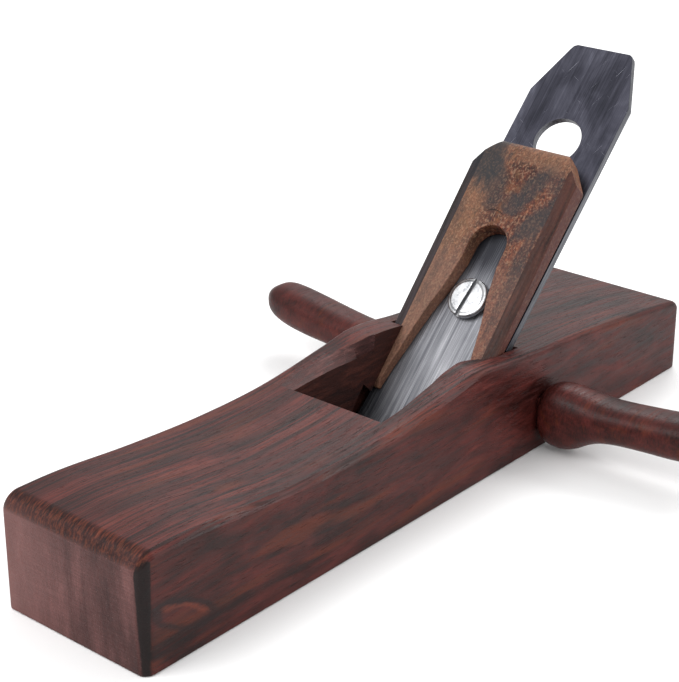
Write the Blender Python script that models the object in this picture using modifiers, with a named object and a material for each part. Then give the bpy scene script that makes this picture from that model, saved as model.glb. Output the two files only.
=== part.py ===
"""A wooden hand plane with a wedged iron and a carved handle on each side.

Metres, +Z up. The origin is on the sole, under the middle of the body. +X points to the toe,
+Y to the right-hand side of a person who looks from the toe to the heel.

The iron, the cap iron, their screw and nut, and the wedge share the bed frame: its origin is where
the iron's face meets the sole, its X runs up the bed, and its Z stands off the iron's face.
"""

import math

import bmesh
import bpy
from mathutils import Matrix, Vector

OBJECT_NAME = "hand_plane"
GAP = 0.0003                      # clearance between pieces that touch

# Body
BODY_LENGTH = 0.300
BODY_WIDTH = 0.062
# Height of the deck at stations from toe to heel, joined by a smooth line.
DECK_LINE = (
    (0.150, 0.0414), (0.128, 0.0410), (0.098, 0.0384), (0.064, 0.0367), (0.032, 0.0374),
    (0.000, 0.0414), (-0.016, 0.0436), (-0.040, 0.0410), (-0.095, 0.0359), (-0.150, 0.0290),
)
DECK_STEPS = 44
END_STEPS = 4
ARRIS_STEPS = 4
TOE_TOP_ROUNDING = 0.0060
CORNER_ROUNDING = 0.0040
LEFT_TOE_ROUNDING = 0.0010        # the left toe corner is left nearly sharp
ARRIS_ROUNDING = 0.0022
SOLE_ROUNDING = 0.0006

# Bed and throat
BED_ANGLE = math.radians(45.4)
MOUTH_X = -0.0013                 # where the iron's face meets the sole
MOUTH_GAP = 0.0017
THROAT_FRONT_X = 0.0300           # front edge of the throat, on the deck
THROAT_HALF = 0.0185              # half the opening between the cheeks' abutments
WAY_HALF = 0.0241                 # half the space behind the abutments, for the wedge
FRONT_WALL_FOOT = (0.0050, 0.0070)
EYE_TOP = 0.0240                  # how far up the bed the throat stays wide
# The hand-cut bevel on each cheek's inner rim, from the toe side back: x, how wide, how deep.
RIM_RIGHT = (
    (0.0300, 0.0040, 0.0030), (0.0260, 0.0040, 0.0032), (0.0207, 0.0040, 0.0034),
    (0.0143, 0.0033, 0.0036), (0.0082, 0.0027, 0.0033), (0.0020, 0.0023, 0.0037),
    (-0.0049, 0.0014, 0.0046), (-0.0107, 0.0013, 0.0050), (-0.0164, 0.0014, 0.0046),
    (-0.0205, 0.0028, 0.0038), (-0.0250, 0.0052, 0.0045), (-0.0300, 0.0056, 0.0040),
    (-0.0370, 0.0040, 0.0010),
)
RIM_LEFT = (
    (0.0300, 0.0055, 0.0006), (0.0270, 0.0060, 0.0009), (0.0234, 0.0064, 0.0010),
    (0.0180, 0.0064, 0.0014), (0.0090, 0.0054, 0.0024), (0.0016, 0.0045, 0.0036),
    (-0.0028, 0.0035, 0.0044), (-0.0083, 0.0018, 0.0052), (-0.0147, 0.0008, 0.0059),
    (-0.0155, 0.0002, 0.0012),
)
NUT_GROOVE_HALF = 0.0076
NUT_GROOVE_DEPTH = 0.0068
NUT_GROOVE_START = 0.0440

# Cutting iron, in the bed frame
IRON_LENGTH = 0.1834
IRON_HALF = 0.02235
IRON_THICKNESS = 0.0030
IRON_SHOULDER = 0.1609
IRON_TOP_HALF = 0.0140
EDGE_LIFT = 0.0005                # the edge is stored this far up the bed, behind the sole
GRIND_ANGLE = math.radians(27.0)
STEEL_LENGTH = 0.0560
STEEL_THICKNESS = 0.0012
KEYHOLE_CENTRE = 0.1419
KEYHOLE_RADIUS = 0.00975
SLOT_HALF = 0.0055
SLOT_FOOT = 0.0660

# Cap iron
CAP_NOSE = 0.0020
CAP_TOP = 0.1080
CAP_HALF = 0.0220
CAP_THICKNESS = 0.0022
CAP_HOLE_RADIUS = 0.0046
CAP_CORNER = 0.0040

# Cap-iron screw and nut
SCREW_AT = 0.0700
HEAD_RADIUS = 0.0080
HEAD_HEIGHT = 0.0034
HEAD_RIM = 0.0008
COLLAR_RADIUS = 0.0068
COLLAR_HEIGHT = 0.0010
SHANK_RADIUS = 0.0040
SCREW_SLOT_HALF = 0.0008
SCREW_SLOT_DEPTH = 0.0014
SCREW_SLOT_TURN = math.radians(-5.0)
NUT_HALF = 0.0060
NUT_THICKNESS = 0.0040
NUT_HOLE_RADIUS = SHANK_RADIUS + GAP
SHANK_END = 0.0094                # how far the shank reaches behind the iron's face

# Wedge
WEDGE_HALF = 0.0237
WEDGE_TIP = 0.0265
WEDGE_FACE_TOP = 0.1245
WEDGE_TOP = 0.1325
WEDGE_TAPER = math.radians(3.2)
WEDGE_HEIGHT = 0.0098             # how far its face stands off the iron's face, at the slot's round
WEDGE_CLIP_HALF = 0.0150
WEDGE_CLIP_FOOT = 0.1215
WEDGE_CHAMFER_WIDTH = 0.0045
WEDGE_CHAMFER_DEPTH = 0.0016
SLOT_ROUND_AT = 0.0903
SLOT_ROUND_RADIUS = 0.0080
# Half the slot's width where it flares out between the legs, going down to their tips.
SLOT_FLARE = (
    (0.0830, 0.0080), (0.0710, 0.0098), (0.0610, 0.0124), (0.0510, 0.0142),
    (0.0360, 0.0166), (0.0200, 0.0184), (0.0100, 0.0194),
)

# Handles
HANDLE_X = -0.0555
HANDLE_SWEEP = 0.08               # how far a handle leans back, per unit out from the body
# Distance out from the body's side, half thickness, and the heights of its underside and its top.
HANDLE_STATIONS = (
    (0.0005, 0.0066, 0.0070, 0.0222), (0.0018, 0.0084, 0.0046, 0.0244),
    (0.0042, 0.0097, 0.0029, 0.0259), (0.0080, 0.0103, 0.0021, 0.0265),
    (0.0120, 0.0103, 0.0023, 0.0263), (0.0160, 0.0101, 0.0038, 0.0257),
    (0.0200, 0.0099, 0.0063, 0.0252), (0.0250, 0.0097, 0.0086, 0.0248),
    (0.0320, 0.0096, 0.0101, 0.0249), (0.0430, 0.0097, 0.0108, 0.0257),
    (0.0560, 0.0099, 0.0112, 0.0269), (0.0670, 0.0097, 0.0124, 0.0277),
    (0.0740, 0.0085, 0.0144, 0.0275), (0.0780, 0.0058, 0.0172, 0.0256),
    (0.0792, 0.0030, 0.0192, 0.0240),
)
HANDLE_RING = 16
HANDLE_SQUARENESS = 2.5           # exponent of the section's rounded outline
TENON_HALF_THICKNESS = 0.0055
TENON_HALF_HEIGHT = 0.0062
TENON_Z = 0.0146

ARC_STEPS = 24
FAR = 0.080                       # how far a cutter reaches past the surface it opens

COLOURS = {                       # sRGB, roughness, metallic
    "rosewood": ((0.29, 0.14, 0.13), 0.42, 0.0),
    "wedge_wood": ((0.45, 0.31, 0.23), 0.55, 0.0),
    "iron_steel": ((0.27, 0.28, 0.31), 0.38, 1.0),
    "edge_steel": ((0.42, 0.43, 0.46), 0.30, 1.0),
    "cap_steel": ((0.66, 0.66, 0.68), 0.28, 1.0),
    "plated_screw": ((0.86, 0.86, 0.87), 0.18, 1.0),
}


def new_collection(name):
    collection = bpy.data.collections.new(name)
    bpy.context.scene.collection.children.link(collection)
    return collection


for old in list(bpy.data.objects):
    bpy.data.objects.remove(old, do_unlink=True)
PARTS = new_collection(OBJECT_NAME)
CUTTERS = new_collection(OBJECT_NAME + "_cutters")
CUTTERS.hide_render = True


def material(name):
    """The Principled material of one finish, made once."""
    if name in bpy.data.materials:
        return bpy.data.materials[name]
    colour, roughness, metallic = COLOURS[name]
    finish = bpy.data.materials.new(name)
    finish.use_nodes = True
    shader = finish.node_tree.nodes["Principled BSDF"]
    linear = [((c + 0.055) / 1.055) ** 2.4 for c in colour]
    shader.inputs["Base Color"].default_value = (*linear, 1.0)
    shader.inputs["Roughness"].default_value = roughness
    shader.inputs["Metallic"].default_value = metallic
    finish.diffuse_color = (*linear, 1.0)
    return finish


def add_mesh(name, bm, collection, finish=None):
    """Writes the bmesh to a new object in the collection."""
    bmesh.ops.recalc_face_normals(bm, faces=bm.faces)
    mesh = bpy.data.meshes.new(name)
    bm.to_mesh(mesh)
    bm.free()
    obj = bpy.data.objects.new(name, mesh)
    collection.objects.link(obj)
    if finish:
        mesh.materials.append(material(finish))
        mesh.shade_smooth()
        mesh.set_sharp_from_angle(angle=math.radians(32))
    else:
        obj.hide_render = True
        obj.display_type = "WIRE"
    return obj


def slab(name, outlines, low, high, collection, finish=None, upright=False):
    """A slab between two levels from closed outlines, of which each after the first is a hole.

    Flat, it lies in XY from z = low to z = high. Upright, its outline is drawn in XZ and it runs
    from y = -high to y = -low.
    """
    data = bpy.data.curves.new(name + "_outline", "CURVE")
    data.dimensions = "2D"
    data.fill_mode = "BOTH"
    data.extrude = (high - low) / 2
    for outline in outlines:
        spline = data.splines.new("POLY")
        spline.points.add(len(outline) - 1)
        for point, (x, y) in zip(spline.points, outline):
            point.co = (x, y, 0.0, 1.0)
        spline.use_cyclic_u = True
    guide = bpy.data.objects.new(name + "_outline", data)
    collection.objects.link(guide)
    bpy.context.view_layer.update()
    graph = bpy.context.evaluated_depsgraph_get()
    filled = bpy.data.meshes.new_from_object(guide.evaluated_get(graph))
    bm = bmesh.new()
    bm.from_mesh(filled)
    bpy.data.objects.remove(guide, do_unlink=True)
    bpy.data.meshes.remove(filled)
    bmesh.ops.remove_doubles(bm, verts=bm.verts, dist=1e-6)
    bmesh.ops.translate(bm, verts=bm.verts, vec=(0.0, 0.0, (low + high) / 2))
    if upright:
        bmesh.ops.rotate(bm, verts=bm.verts, matrix=Matrix.Rotation(math.radians(90), 3, "X"))
    return add_mesh(name, bm, collection, finish)


def block(name, low, high, collection, finish=None):
    """A box between two corners."""
    bm = bmesh.new()
    bmesh.ops.create_cube(bm, size=1.0)
    size = Vector(high) - Vector(low)
    bmesh.ops.scale(bm, verts=bm.verts, vec=size)
    bmesh.ops.translate(bm, verts=bm.verts, vec=(Vector(low) + Vector(high)) / 2)
    return add_mesh(name, bm, collection, finish)


def loft(name, rings, collection, finish=None):
    """A closed solid through rings with the same number of points."""
    bm = bmesh.new()
    rows = [[bm.verts.new(point) for point in ring] for ring in rings]
    for near, far in zip(rows, rows[1:]):
        for i in range(len(near)):
            j = (i + 1) % len(near)
            bm.faces.new((near[i], near[j], far[j], far[i]))
    bm.faces.new(rows[0])
    bm.faces.new(rows[-1])
    return add_mesh(name, bm, collection, finish)


def turned(name, profile, collection, finish=None, steps=48):
    """A solid of revolution about Z from a profile of (radius, z) points, top to bottom."""
    mesh = bpy.data.meshes.new(name)
    bm = bmesh.new()
    points = [bm.verts.new((radius, 0.0, z)) for radius, z in profile]
    for a, b in zip(points, points[1:]):
        bm.edges.new((a, b))
    bm.to_mesh(mesh)
    bm.free()
    obj = bpy.data.objects.new(name, mesh)
    collection.objects.link(obj)
    screw = obj.modifiers.new("Screw", "SCREW")
    screw.steps = steps
    screw.render_steps = steps
    screw.use_merge_vertices = True
    screw.merge_threshold = 0.00001
    if finish:
        mesh.materials.append(material(finish))
    else:
        obj.hide_render = True
        obj.display_type = "WIRE"
    return obj


def boolean(obj, other, operation):
    modifier = obj.modifiers.new(other.name, "BOOLEAN")
    modifier.operation = operation
    modifier.solver = "EXACT"
    modifier.object = other


def cut(obj, *cutters):
    for cutter in cutters:
        boolean(obj, cutter, "DIFFERENCE")


def arc(centre, radius, start, end, steps=ARC_STEPS):
    """Points along a circular arc, angles in radians."""
    return [
        (centre[0] + radius * math.cos(start + (end - start) * i / steps),
         centre[1] + radius * math.sin(start + (end - start) * i / steps))
        for i in range(steps + 1)
    ]


def deck_height(x):
    """Height of the deck over the sole: a smooth line through the stations of DECK_LINE."""
    stations = [s for s in reversed(DECK_LINE)]
    i = 0
    while i < len(stations) - 2 and x > stations[i + 1][0]:
        i += 1
    (x0, z0), (x1, z1) = stations[i], stations[i + 1]

    def slope(k):
        before, after = stations[max(k - 1, 0)], stations[min(k + 1, len(stations) - 1)]
        return (after[1] - before[1]) / (after[0] - before[0])

    span = x1 - x0
    t = (x - x0) / span
    rise = z1 - z0
    a = slope(i) * span - rise
    b = rise - slope(i + 1) * span
    return z0 + t * rise + t * (1 - t) * (a * (1 - t) + b * t)


def bed_point(along, off):
    """World (x, z) of a point along the bed and off the iron's face."""
    return (
        MOUTH_X - math.cos(BED_ANGLE) * along + math.sin(BED_ANGLE) * off,
        math.sin(BED_ANGLE) * along + math.cos(BED_ANGLE) * off,
    )


def wedge_face(along):
    """How far the wedge's face stands off the iron's face."""
    return WEDGE_HEIGHT + math.tan(WEDGE_TAPER) * (along - SLOT_ROUND_AT)


def drop(radius, distance):
    """How far an edge rounded to this radius has fallen, this distance in from the end of the piece."""
    reach = max(radius - distance, 0.0)
    return radius - math.sqrt(radius * radius - reach * reach)


def body_side(half, top, foot):
    """One side of the body's outline, from its sole up round the arris to its deck."""
    centre = (half - ARRIS_ROUNDING, top - ARRIS_ROUNDING)
    return [(half - SOLE_ROUNDING, foot), (half, foot + SOLE_ROUNDING)] + arc(
        centre, ARRIS_ROUNDING, 0.0, math.radians(90), ARRIS_STEPS
    )


def body_section(x):
    """The outline of the body across its length at x, anticlockwise seen from the toe."""
    inset = BODY_LENGTH / 2 - abs(x)
    top = deck_height(x) - drop(TOE_TOP_ROUNDING, inset)
    foot = drop(SOLE_ROUNDING, inset)
    left_rounding = LEFT_TOE_ROUNDING if x > 0 else CORNER_ROUNDING
    right = body_side(BODY_WIDTH / 2 - drop(CORNER_ROUNDING, inset), top, foot)
    left = body_side(BODY_WIDTH / 2 - drop(left_rounding, inset), top, foot)
    return [(x, y, z) for y, z in right] + [(x, -y, z) for y, z in reversed(left)]


def body_blank():
    """The block with its curved deck and eased edges, before any cut."""
    half = BODY_LENGTH / 2
    ends = [half - TOE_TOP_ROUNDING * (1 - math.cos(math.radians(90) * i / END_STEPS))
            for i in range(END_STEPS + 1)]
    inner = half - TOE_TOP_ROUNDING
    between = [inner - 2 * inner * i / DECK_STEPS for i in range(1, DECK_STEPS)]
    stations = ends + between + [-x for x in reversed(ends)]
    return loft("body", [body_section(x) for x in stations], PARTS, "rosewood")


def iron_way():
    """The space for the iron and the wedge, from the mouth to the deck, under the abutments."""
    top = 0.100
    below = -0.010
    behind = -IRON_THICKNESS - GAP
    foot = bed_point(-behind / math.tan(BED_ANGLE), behind)
    outline = [
        (foot[0], below),
        foot,
        bed_point(top, behind),
        bed_point(top, wedge_face(top) + GAP),
        bed_point(EYE_TOP, wedge_face(EYE_TOP) + GAP),
        bed_point(EYE_TOP, 0.0125),
        FRONT_WALL_FOOT,
        (MOUTH_X + MOUTH_GAP, below),
    ]
    return slab("iron_way", [outline], -WAY_HALF, WAY_HALF, CUTTERS, upright=True)


def throat():
    """The opening that shavings leave by, between the abutments."""
    slope = (THROAT_FRONT_X - FRONT_WALL_FOOT[0]) / (deck_height(THROAT_FRONT_X) - FRONT_WALL_FOOT[1])
    outline = [
        FRONT_WALL_FOOT,
        bed_point(0.010, 0.004),
        bed_point(0.100, 0.004),
        (THROAT_FRONT_X + slope * 0.020, FAR),
        (THROAT_FRONT_X + slope * 0.010, deck_height(THROAT_FRONT_X) + 0.010),
    ]
    return slab("throat", [outline], -THROAT_HALF, THROAT_HALF, CUTTERS, upright=True)


def rim_scoop(side):
    """The hand-cut bevel on a cheek's inner rim: shallow at the front, steep at the hump."""
    rings = []
    for x, out, depth in RIM_RIGHT if side > 0 else RIM_LEFT:
        deck = deck_height(x)
        slope = depth / out
        over = 0.003
        rings.append([
            (x, side * (THROAT_HALF - over), deck - depth - slope * over),
            (x, side * (THROAT_HALF + out + over / slope), deck + over),
            (x, side * (THROAT_HALF - over), deck + over + 0.001),
        ])
    return loft("rim_scoop_" + ("right" if side > 0 else "left"), rings, CUTTERS)


def nut_groove(bed):
    """A groove up the bed's top, which the nut behind the iron runs in."""
    low = (NUT_GROOVE_START, -NUT_GROOVE_HALF, -IRON_THICKNESS - NUT_GROOVE_DEPTH)
    high = (0.110, NUT_GROOVE_HALF, 0.0)
    groove = block("nut_groove", low, high, CUTTERS)
    groove.parent = bed
    return groove


def mortise():
    half = Vector((TENON_HALF_THICKNESS + GAP, BODY_WIDTH, TENON_HALF_HEIGHT + GAP))
    centre = Vector((HANDLE_X, 0.0, TENON_Z))
    return block("mortise", centre - half, centre + half, CUTTERS)


def body(bed):
    stock = body_blank()
    cut(stock, iron_way(), throat(), rim_scoop(1), rim_scoop(-1), nut_groove(bed), mortise())


def handle(side):
    """One carved handle, deep at its root and cut away below for the fingers, with its tenon."""
    name = "handle_right" if side > 0 else "handle_left"
    rings = []
    for out, half_x, low, high in HANDLE_STATIONS:
        ring = []
        for i in range(HANDLE_RING):
            turn = 2 * math.pi * i / HANDLE_RING
            c, s = math.cos(turn), math.sin(turn)
            total = abs(c) ** HANDLE_SQUARENESS + abs(s) ** HANDLE_SQUARENESS
            reach = total ** (-1 / HANDLE_SQUARENESS)
            ring.append((
                HANDLE_X - HANDLE_SWEEP * out + half_x * reach * c,
                side * (BODY_WIDTH / 2 + out),
                (low + high) / 2 + (high - low) / 2 * reach * s,
            ))
        rings.append(ring)
    grip = loft(name, rings, PARTS, "rosewood")
    low = Vector((HANDLE_X - TENON_HALF_THICKNESS, 0.0010, TENON_Z - TENON_HALF_HEIGHT))
    high = Vector((HANDLE_X + TENON_HALF_THICKNESS, BODY_WIDTH / 2 + 0.006, TENON_Z + TENON_HALF_HEIGHT))
    if side < 0:
        low.y, high.y = -high.y, -low.y
    boolean(grip, block(name + "_tenon", low, high, CUTTERS), "UNION")


def grind():
    """Takes the ground bevel off the back of the iron, below its edge."""
    reach = 0.040
    outline = [
        (EDGE_LIFT, 0.0),
        (EDGE_LIFT + reach * math.cos(GRIND_ANGLE), -reach * math.sin(GRIND_ANGLE)),
        (EDGE_LIFT - reach, -reach),
        (EDGE_LIFT - reach, 0.002),
        (EDGE_LIFT, 0.002),
    ]
    return slab("grind", [outline], -FAR, FAR, CUTTERS, upright=True)


def keyhole():
    """The round hole at the top of the iron, and the slot that runs down from it."""
    meet = math.asin(SLOT_HALF / KEYHOLE_RADIUS)
    foot = arc((SLOT_FOOT, 0.0), SLOT_HALF, math.radians(90), math.radians(270))
    hole = arc((KEYHOLE_CENTRE, 0.0), KEYHOLE_RADIUS, math.pi + meet, 3 * math.pi - meet, 2 * ARC_STEPS)
    return foot + hole


def iron(bed, ground):
    """The cutting iron: clipped top corners, a keyhole slot, and a seat for the hard steel."""
    round_top = 0.0022
    outline = [
        (0.0, -IRON_HALF), (IRON_SHOULDER, -IRON_HALF),
        (IRON_LENGTH - round_top, -IRON_TOP_HALF), (IRON_LENGTH, -IRON_TOP_HALF + round_top),
        (IRON_LENGTH, IRON_TOP_HALF - round_top), (IRON_LENGTH - round_top, IRON_TOP_HALF),
        (IRON_SHOULDER, IRON_HALF), (0.0, IRON_HALF),
    ]
    blade = slab("iron", [outline, keyhole()], -IRON_THICKNESS, 0.0, PARTS, "iron_steel")
    seat = block(
        "steel_seat", (-0.01, -FAR, -STEEL_THICKNESS - GAP), (STEEL_LENGTH + GAP, FAR, 0.01), CUTTERS
    )
    seat.parent = bed
    cut(blade, seat, ground)
    blade.parent = bed


def edge_steel(bed, ground):
    """The hard steel bonded to the iron's face, which carries the cutting edge."""
    steel = block(
        "edge_steel",
        (0.0, -IRON_HALF, -STEEL_THICKNESS),
        (STEEL_LENGTH, IRON_HALF, 0.0),
        PARTS,
        "edge_steel",
    )
    cut(steel, ground)
    steel.parent = bed


def cap_iron(bed):
    """The cap iron: flat, with a low hump that comes down to a fine nose behind the edge."""
    top = GAP + CAP_THICKNESS
    lower = [(0.0175, GAP), (0.0110, GAP + 0.0008), (0.0055, GAP + 0.0006)]
    upper = [(0.0050, top + 0.0001), (0.0100, top + 0.0008), (0.0145, top + 0.0006), (0.0190, top)]
    outline = [(CAP_NOSE, GAP)] + [(CAP_NOSE, GAP + 0.0004)] + upper + [(CAP_TOP, top), (CAP_TOP, GAP)] + lower
    cap = slab("cap_iron", [outline], -CAP_HALF, CAP_HALF, PARTS, "cap_steel", upright=True)
    hole = slab("cap_hole", [arc((SCREW_AT, 0.0), CAP_HOLE_RADIUS, 0.0, 2 * math.pi)[:-1]],
                -FAR, FAR, CUTTERS)
    cut(cap, hole)
    for side in (1, -1):
        corner = block(
            "cap_corner_" + ("right" if side > 0 else "left"),
            (-CAP_CORNER, -CAP_CORNER, -FAR), (CAP_CORNER, CAP_CORNER, FAR), CUTTERS,
        )
        corner.location = (CAP_TOP, side * CAP_HALF, 0.0)
        corner.rotation_euler = (0.0, 0.0, math.radians(45))
        corner.parent = bed
        cut(cap, corner)
    hole.parent = bed
    cap.parent = bed


def cap_screw(bed):
    """The slotted cheese-head screw that holds the cap iron to the iron."""
    seat = 2 * GAP + CAP_THICKNESS
    top = seat + COLLAR_HEIGHT + HEAD_HEIGHT - COLLAR_HEIGHT
    profile = [
        (0.0, top), (HEAD_RADIUS - HEAD_RIM, top), (HEAD_RADIUS, top - HEAD_RIM),
        (HEAD_RADIUS, seat + COLLAR_HEIGHT), (COLLAR_RADIUS, seat + COLLAR_HEIGHT),
        (COLLAR_RADIUS, seat), (SHANK_RADIUS, seat), (SHANK_RADIUS, -SHANK_END + 0.0006),
        (SHANK_RADIUS - 0.0006, -SHANK_END), (0.0, -SHANK_END),
    ]
    screw = turned("cap_screw", profile, PARTS, "plated_screw")
    screw.location = (SCREW_AT, 0.0, 0.0)
    slot = block(
        "screw_slot",
        (-HEAD_RADIUS - 0.002, -SCREW_SLOT_HALF, top - SCREW_SLOT_DEPTH),
        (HEAD_RADIUS + 0.002, SCREW_SLOT_HALF, top + 0.002),
        CUTTERS,
    )
    slot.rotation_euler = (0.0, 0.0, SCREW_SLOT_TURN)
    slot.parent = screw
    cut(screw, slot)
    screw.parent = bed


def cap_nut(bed):
    """The square nut behind the iron that the screw draws up."""
    square = [(NUT_HALF, NUT_HALF), (-NUT_HALF, NUT_HALF), (-NUT_HALF, -NUT_HALF), (NUT_HALF, -NUT_HALF)]
    hole = arc((0.0, 0.0), NUT_HOLE_RADIUS, 0.0, 2 * math.pi)[:-1]
    top = -IRON_THICKNESS - GAP
    nut = slab("cap_nut", [square, hole], top - NUT_THICKNESS, top, PARTS, "plated_screw")
    nut.location = (SCREW_AT, 0.0, 0.0)
    nut.parent = bed


def wedge_slot():
    """The opening that clears the screw head: round at the top, flaring out between the legs."""
    outline = arc((SLOT_ROUND_AT, 0.0), SLOT_ROUND_RADIUS, math.radians(-90), math.radians(90))
    outline += list(SLOT_FLARE)
    outline += [(along, -half) for along, half in reversed(SLOT_FLARE)]
    return slab("wedge_slot", [outline], -FAR, FAR, CUTTERS)


def wedge_clip(side):
    """Takes off a top corner of the wedge."""
    out = WEDGE_HALF + 0.010
    slope = (WEDGE_TOP - WEDGE_CLIP_FOOT) / (WEDGE_HALF - WEDGE_CLIP_HALF)
    outline = [
        (WEDGE_TOP + slope * 0.005, side * (WEDGE_CLIP_HALF - 0.005)),
        (WEDGE_CLIP_FOOT - slope * 0.010, side * out),
        (WEDGE_TOP + slope * 0.005, side * out),
    ]
    return slab("wedge_clip_" + ("right" if side > 0 else "left"), [outline], -FAR, FAR, CUTTERS)


def wedge_chamfer(side):
    """The long, shallow chamfer down a front edge of the wedge."""
    rings = []
    slope = WEDGE_CHAMFER_DEPTH / WEDGE_CHAMFER_WIDTH
    for along in (WEDGE_TIP - 0.010, WEDGE_TOP + 0.010):
        face = wedge_face(along)
        inner = WEDGE_HALF - WEDGE_CHAMFER_WIDTH
        out = 0.004
        rings.append([
            (along, side * (inner - out), face + slope * out),
            (along, side * (WEDGE_HALF + out), face - WEDGE_CHAMFER_DEPTH - slope * out),
            (along, side * (WEDGE_HALF + out), face + slope * out),
        ])
    return loft("wedge_chamfer_" + ("right" if side > 0 else "left"), rings, CUTTERS)


def wedge(bed):
    """The wedge that holds the irons: slotted round the screw, with a leg under each abutment."""
    back = 2 * GAP + CAP_THICKNESS
    outline = [
        (WEDGE_TIP, back), (WEDGE_TIP, back + 0.0014), (WEDGE_TIP + 0.0035, wedge_face(WEDGE_TIP + 0.0035)),
        (WEDGE_FACE_TOP, wedge_face(WEDGE_FACE_TOP)), (WEDGE_TOP, wedge_face(WEDGE_TOP) - 0.0028),
        (WEDGE_TOP, wedge_face(WEDGE_TOP) - 0.0050), (WEDGE_TOP - 0.0012, back),
    ]
    block_of_wood = slab("wedge", [outline], -WEDGE_HALF, WEDGE_HALF, PARTS, "wedge_wood", upright=True)
    cutters = [wedge_slot()]
    for side in (1, -1):
        cutters += [wedge_clip(side), wedge_chamfer(side)]
    for cutter in cutters:
        cutter.parent = bed
    cut(block_of_wood, *cutters)
    block_of_wood.parent = bed


def bed_frame():
    """The empty on the bed: X up the bed, Z off the iron's face, at the mouth."""
    frame = bpy.data.objects.new("bed_frame", None)
    PARTS.objects.link(frame)
    up = Vector((-math.cos(BED_ANGLE), 0.0, math.sin(BED_ANGLE)))
    off = Vector((math.sin(BED_ANGLE), 0.0, math.cos(BED_ANGLE)))
    axes = Matrix((up, off.cross(up), off)).transposed()
    frame.rotation_euler = axes.to_euler()
    frame.location = (MOUTH_X, 0.0, 0.0)
    return frame


def main():
    bed = bed_frame()
    body(bed)
    for side in (1, -1):
        handle(side)
    ground = grind()
    ground.parent = bed
    iron(bed, ground)
    edge_steel(bed, ground)
    cap_iron(bed)
    cap_screw(bed)
    cap_nut(bed)
    wedge(bed)


main()
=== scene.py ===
"""The looks of a wooden hand plane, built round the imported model.

Every piece has a CAD node of the same name, which it replaces. The body and the handles are made where
they stand. The iron, the cap iron, their screw and nut, and the wedge are made in the bed frame, with X up
the bed, Z off the iron's face and the origin where that face meets the sole, and are then set in place.
"""

import math

import bmesh
import bpy
from mathutils import Matrix, Vector


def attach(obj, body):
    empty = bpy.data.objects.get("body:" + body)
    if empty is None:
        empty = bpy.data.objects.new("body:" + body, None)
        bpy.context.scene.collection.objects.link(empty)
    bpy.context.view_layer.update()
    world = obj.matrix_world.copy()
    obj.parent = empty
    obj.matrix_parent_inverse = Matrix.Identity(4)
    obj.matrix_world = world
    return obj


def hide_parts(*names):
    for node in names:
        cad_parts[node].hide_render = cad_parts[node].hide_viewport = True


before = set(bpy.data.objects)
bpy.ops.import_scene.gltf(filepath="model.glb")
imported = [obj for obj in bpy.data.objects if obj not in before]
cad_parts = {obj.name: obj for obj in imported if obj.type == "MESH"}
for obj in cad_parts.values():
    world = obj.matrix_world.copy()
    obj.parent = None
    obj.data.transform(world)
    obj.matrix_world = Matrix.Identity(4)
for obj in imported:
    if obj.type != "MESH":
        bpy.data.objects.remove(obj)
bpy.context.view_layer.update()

GAP = 0.0003

# Body
BODY_LENGTH = 0.300
BODY_WIDTH = 0.062
DECK_LINE = (
    (0.150, 0.0414), (0.128, 0.0410), (0.098, 0.0384), (0.064, 0.0367), (0.032, 0.0374),
    (0.000, 0.0414), (-0.016, 0.0436), (-0.040, 0.0410), (-0.095, 0.0359), (-0.150, 0.0290),
)
TOE_TOP_ROUNDING = 0.0060
CORNER_ROUNDING = 0.0040
LEFT_TOE_ROUNDING = 0.0010
ARRIS_ROUNDING = 0.0022
SOLE_ROUNDING = 0.0006

# Bed and throat
BED_ANGLE = math.radians(45.4)
MOUTH_X = -0.0013
MOUTH_GAP = 0.0017
THROAT_FRONT_X = 0.0300
THROAT_HALF = 0.0185
WAY_HALF = 0.0241
FRONT_WALL_FOOT = (0.0050, 0.0070)
EYE_TOP = 0.0240
# The hand-cut bevel on each cheek's inner rim, from the toe side back: x, how wide, how deep.
RIM_RIGHT = (
    (0.0300, 0.0040, 0.0030), (0.0260, 0.0040, 0.0032), (0.0207, 0.0040, 0.0034),
    (0.0143, 0.0033, 0.0036), (0.0082, 0.0027, 0.0033), (0.0020, 0.0023, 0.0037),
    (-0.0049, 0.0014, 0.0046), (-0.0107, 0.0013, 0.0050), (-0.0164, 0.0014, 0.0046),
    (-0.0205, 0.0028, 0.0038), (-0.0250, 0.0052, 0.0045), (-0.0300, 0.0056, 0.0040),
    (-0.0370, 0.0040, 0.0010),
)
RIM_LEFT = (
    (0.0300, 0.0055, 0.0006), (0.0270, 0.0060, 0.0009), (0.0234, 0.0064, 0.0010),
    (0.0180, 0.0064, 0.0014), (0.0090, 0.0054, 0.0024), (0.0016, 0.0045, 0.0036),
    (-0.0028, 0.0035, 0.0044), (-0.0083, 0.0018, 0.0052), (-0.0147, 0.0008, 0.0059),
    (-0.0155, 0.0002, 0.0012),
)
NUT_GROOVE = (0.0440, 0.0076, 0.0068)     # where it starts up the bed, half its width, its depth

# Cutting iron
IRON_LENGTH = 0.1834
IRON_HALF = 0.02235
IRON_THICKNESS = 0.0030
IRON_SHOULDER = 0.1609
IRON_TOP_HALF = 0.0140
EDGE_LIFT = 0.0005
GRIND_ANGLE = math.radians(27.0)
STEEL_LENGTH = 0.0560
STEEL_THICKNESS = 0.0012
KEYHOLE_CENTRE = 0.1419
KEYHOLE_RADIUS = 0.00975
SLOT_HALF = 0.0055
SLOT_FOOT = 0.0660

# Cap iron
CAP_NOSE = 0.0020
CAP_TOP = 0.1080
CAP_HALF = 0.0220
CAP_THICKNESS = 0.0022
CAP_HOLE_RADIUS = 0.0046
CAP_CORNER = 0.0040

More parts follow.
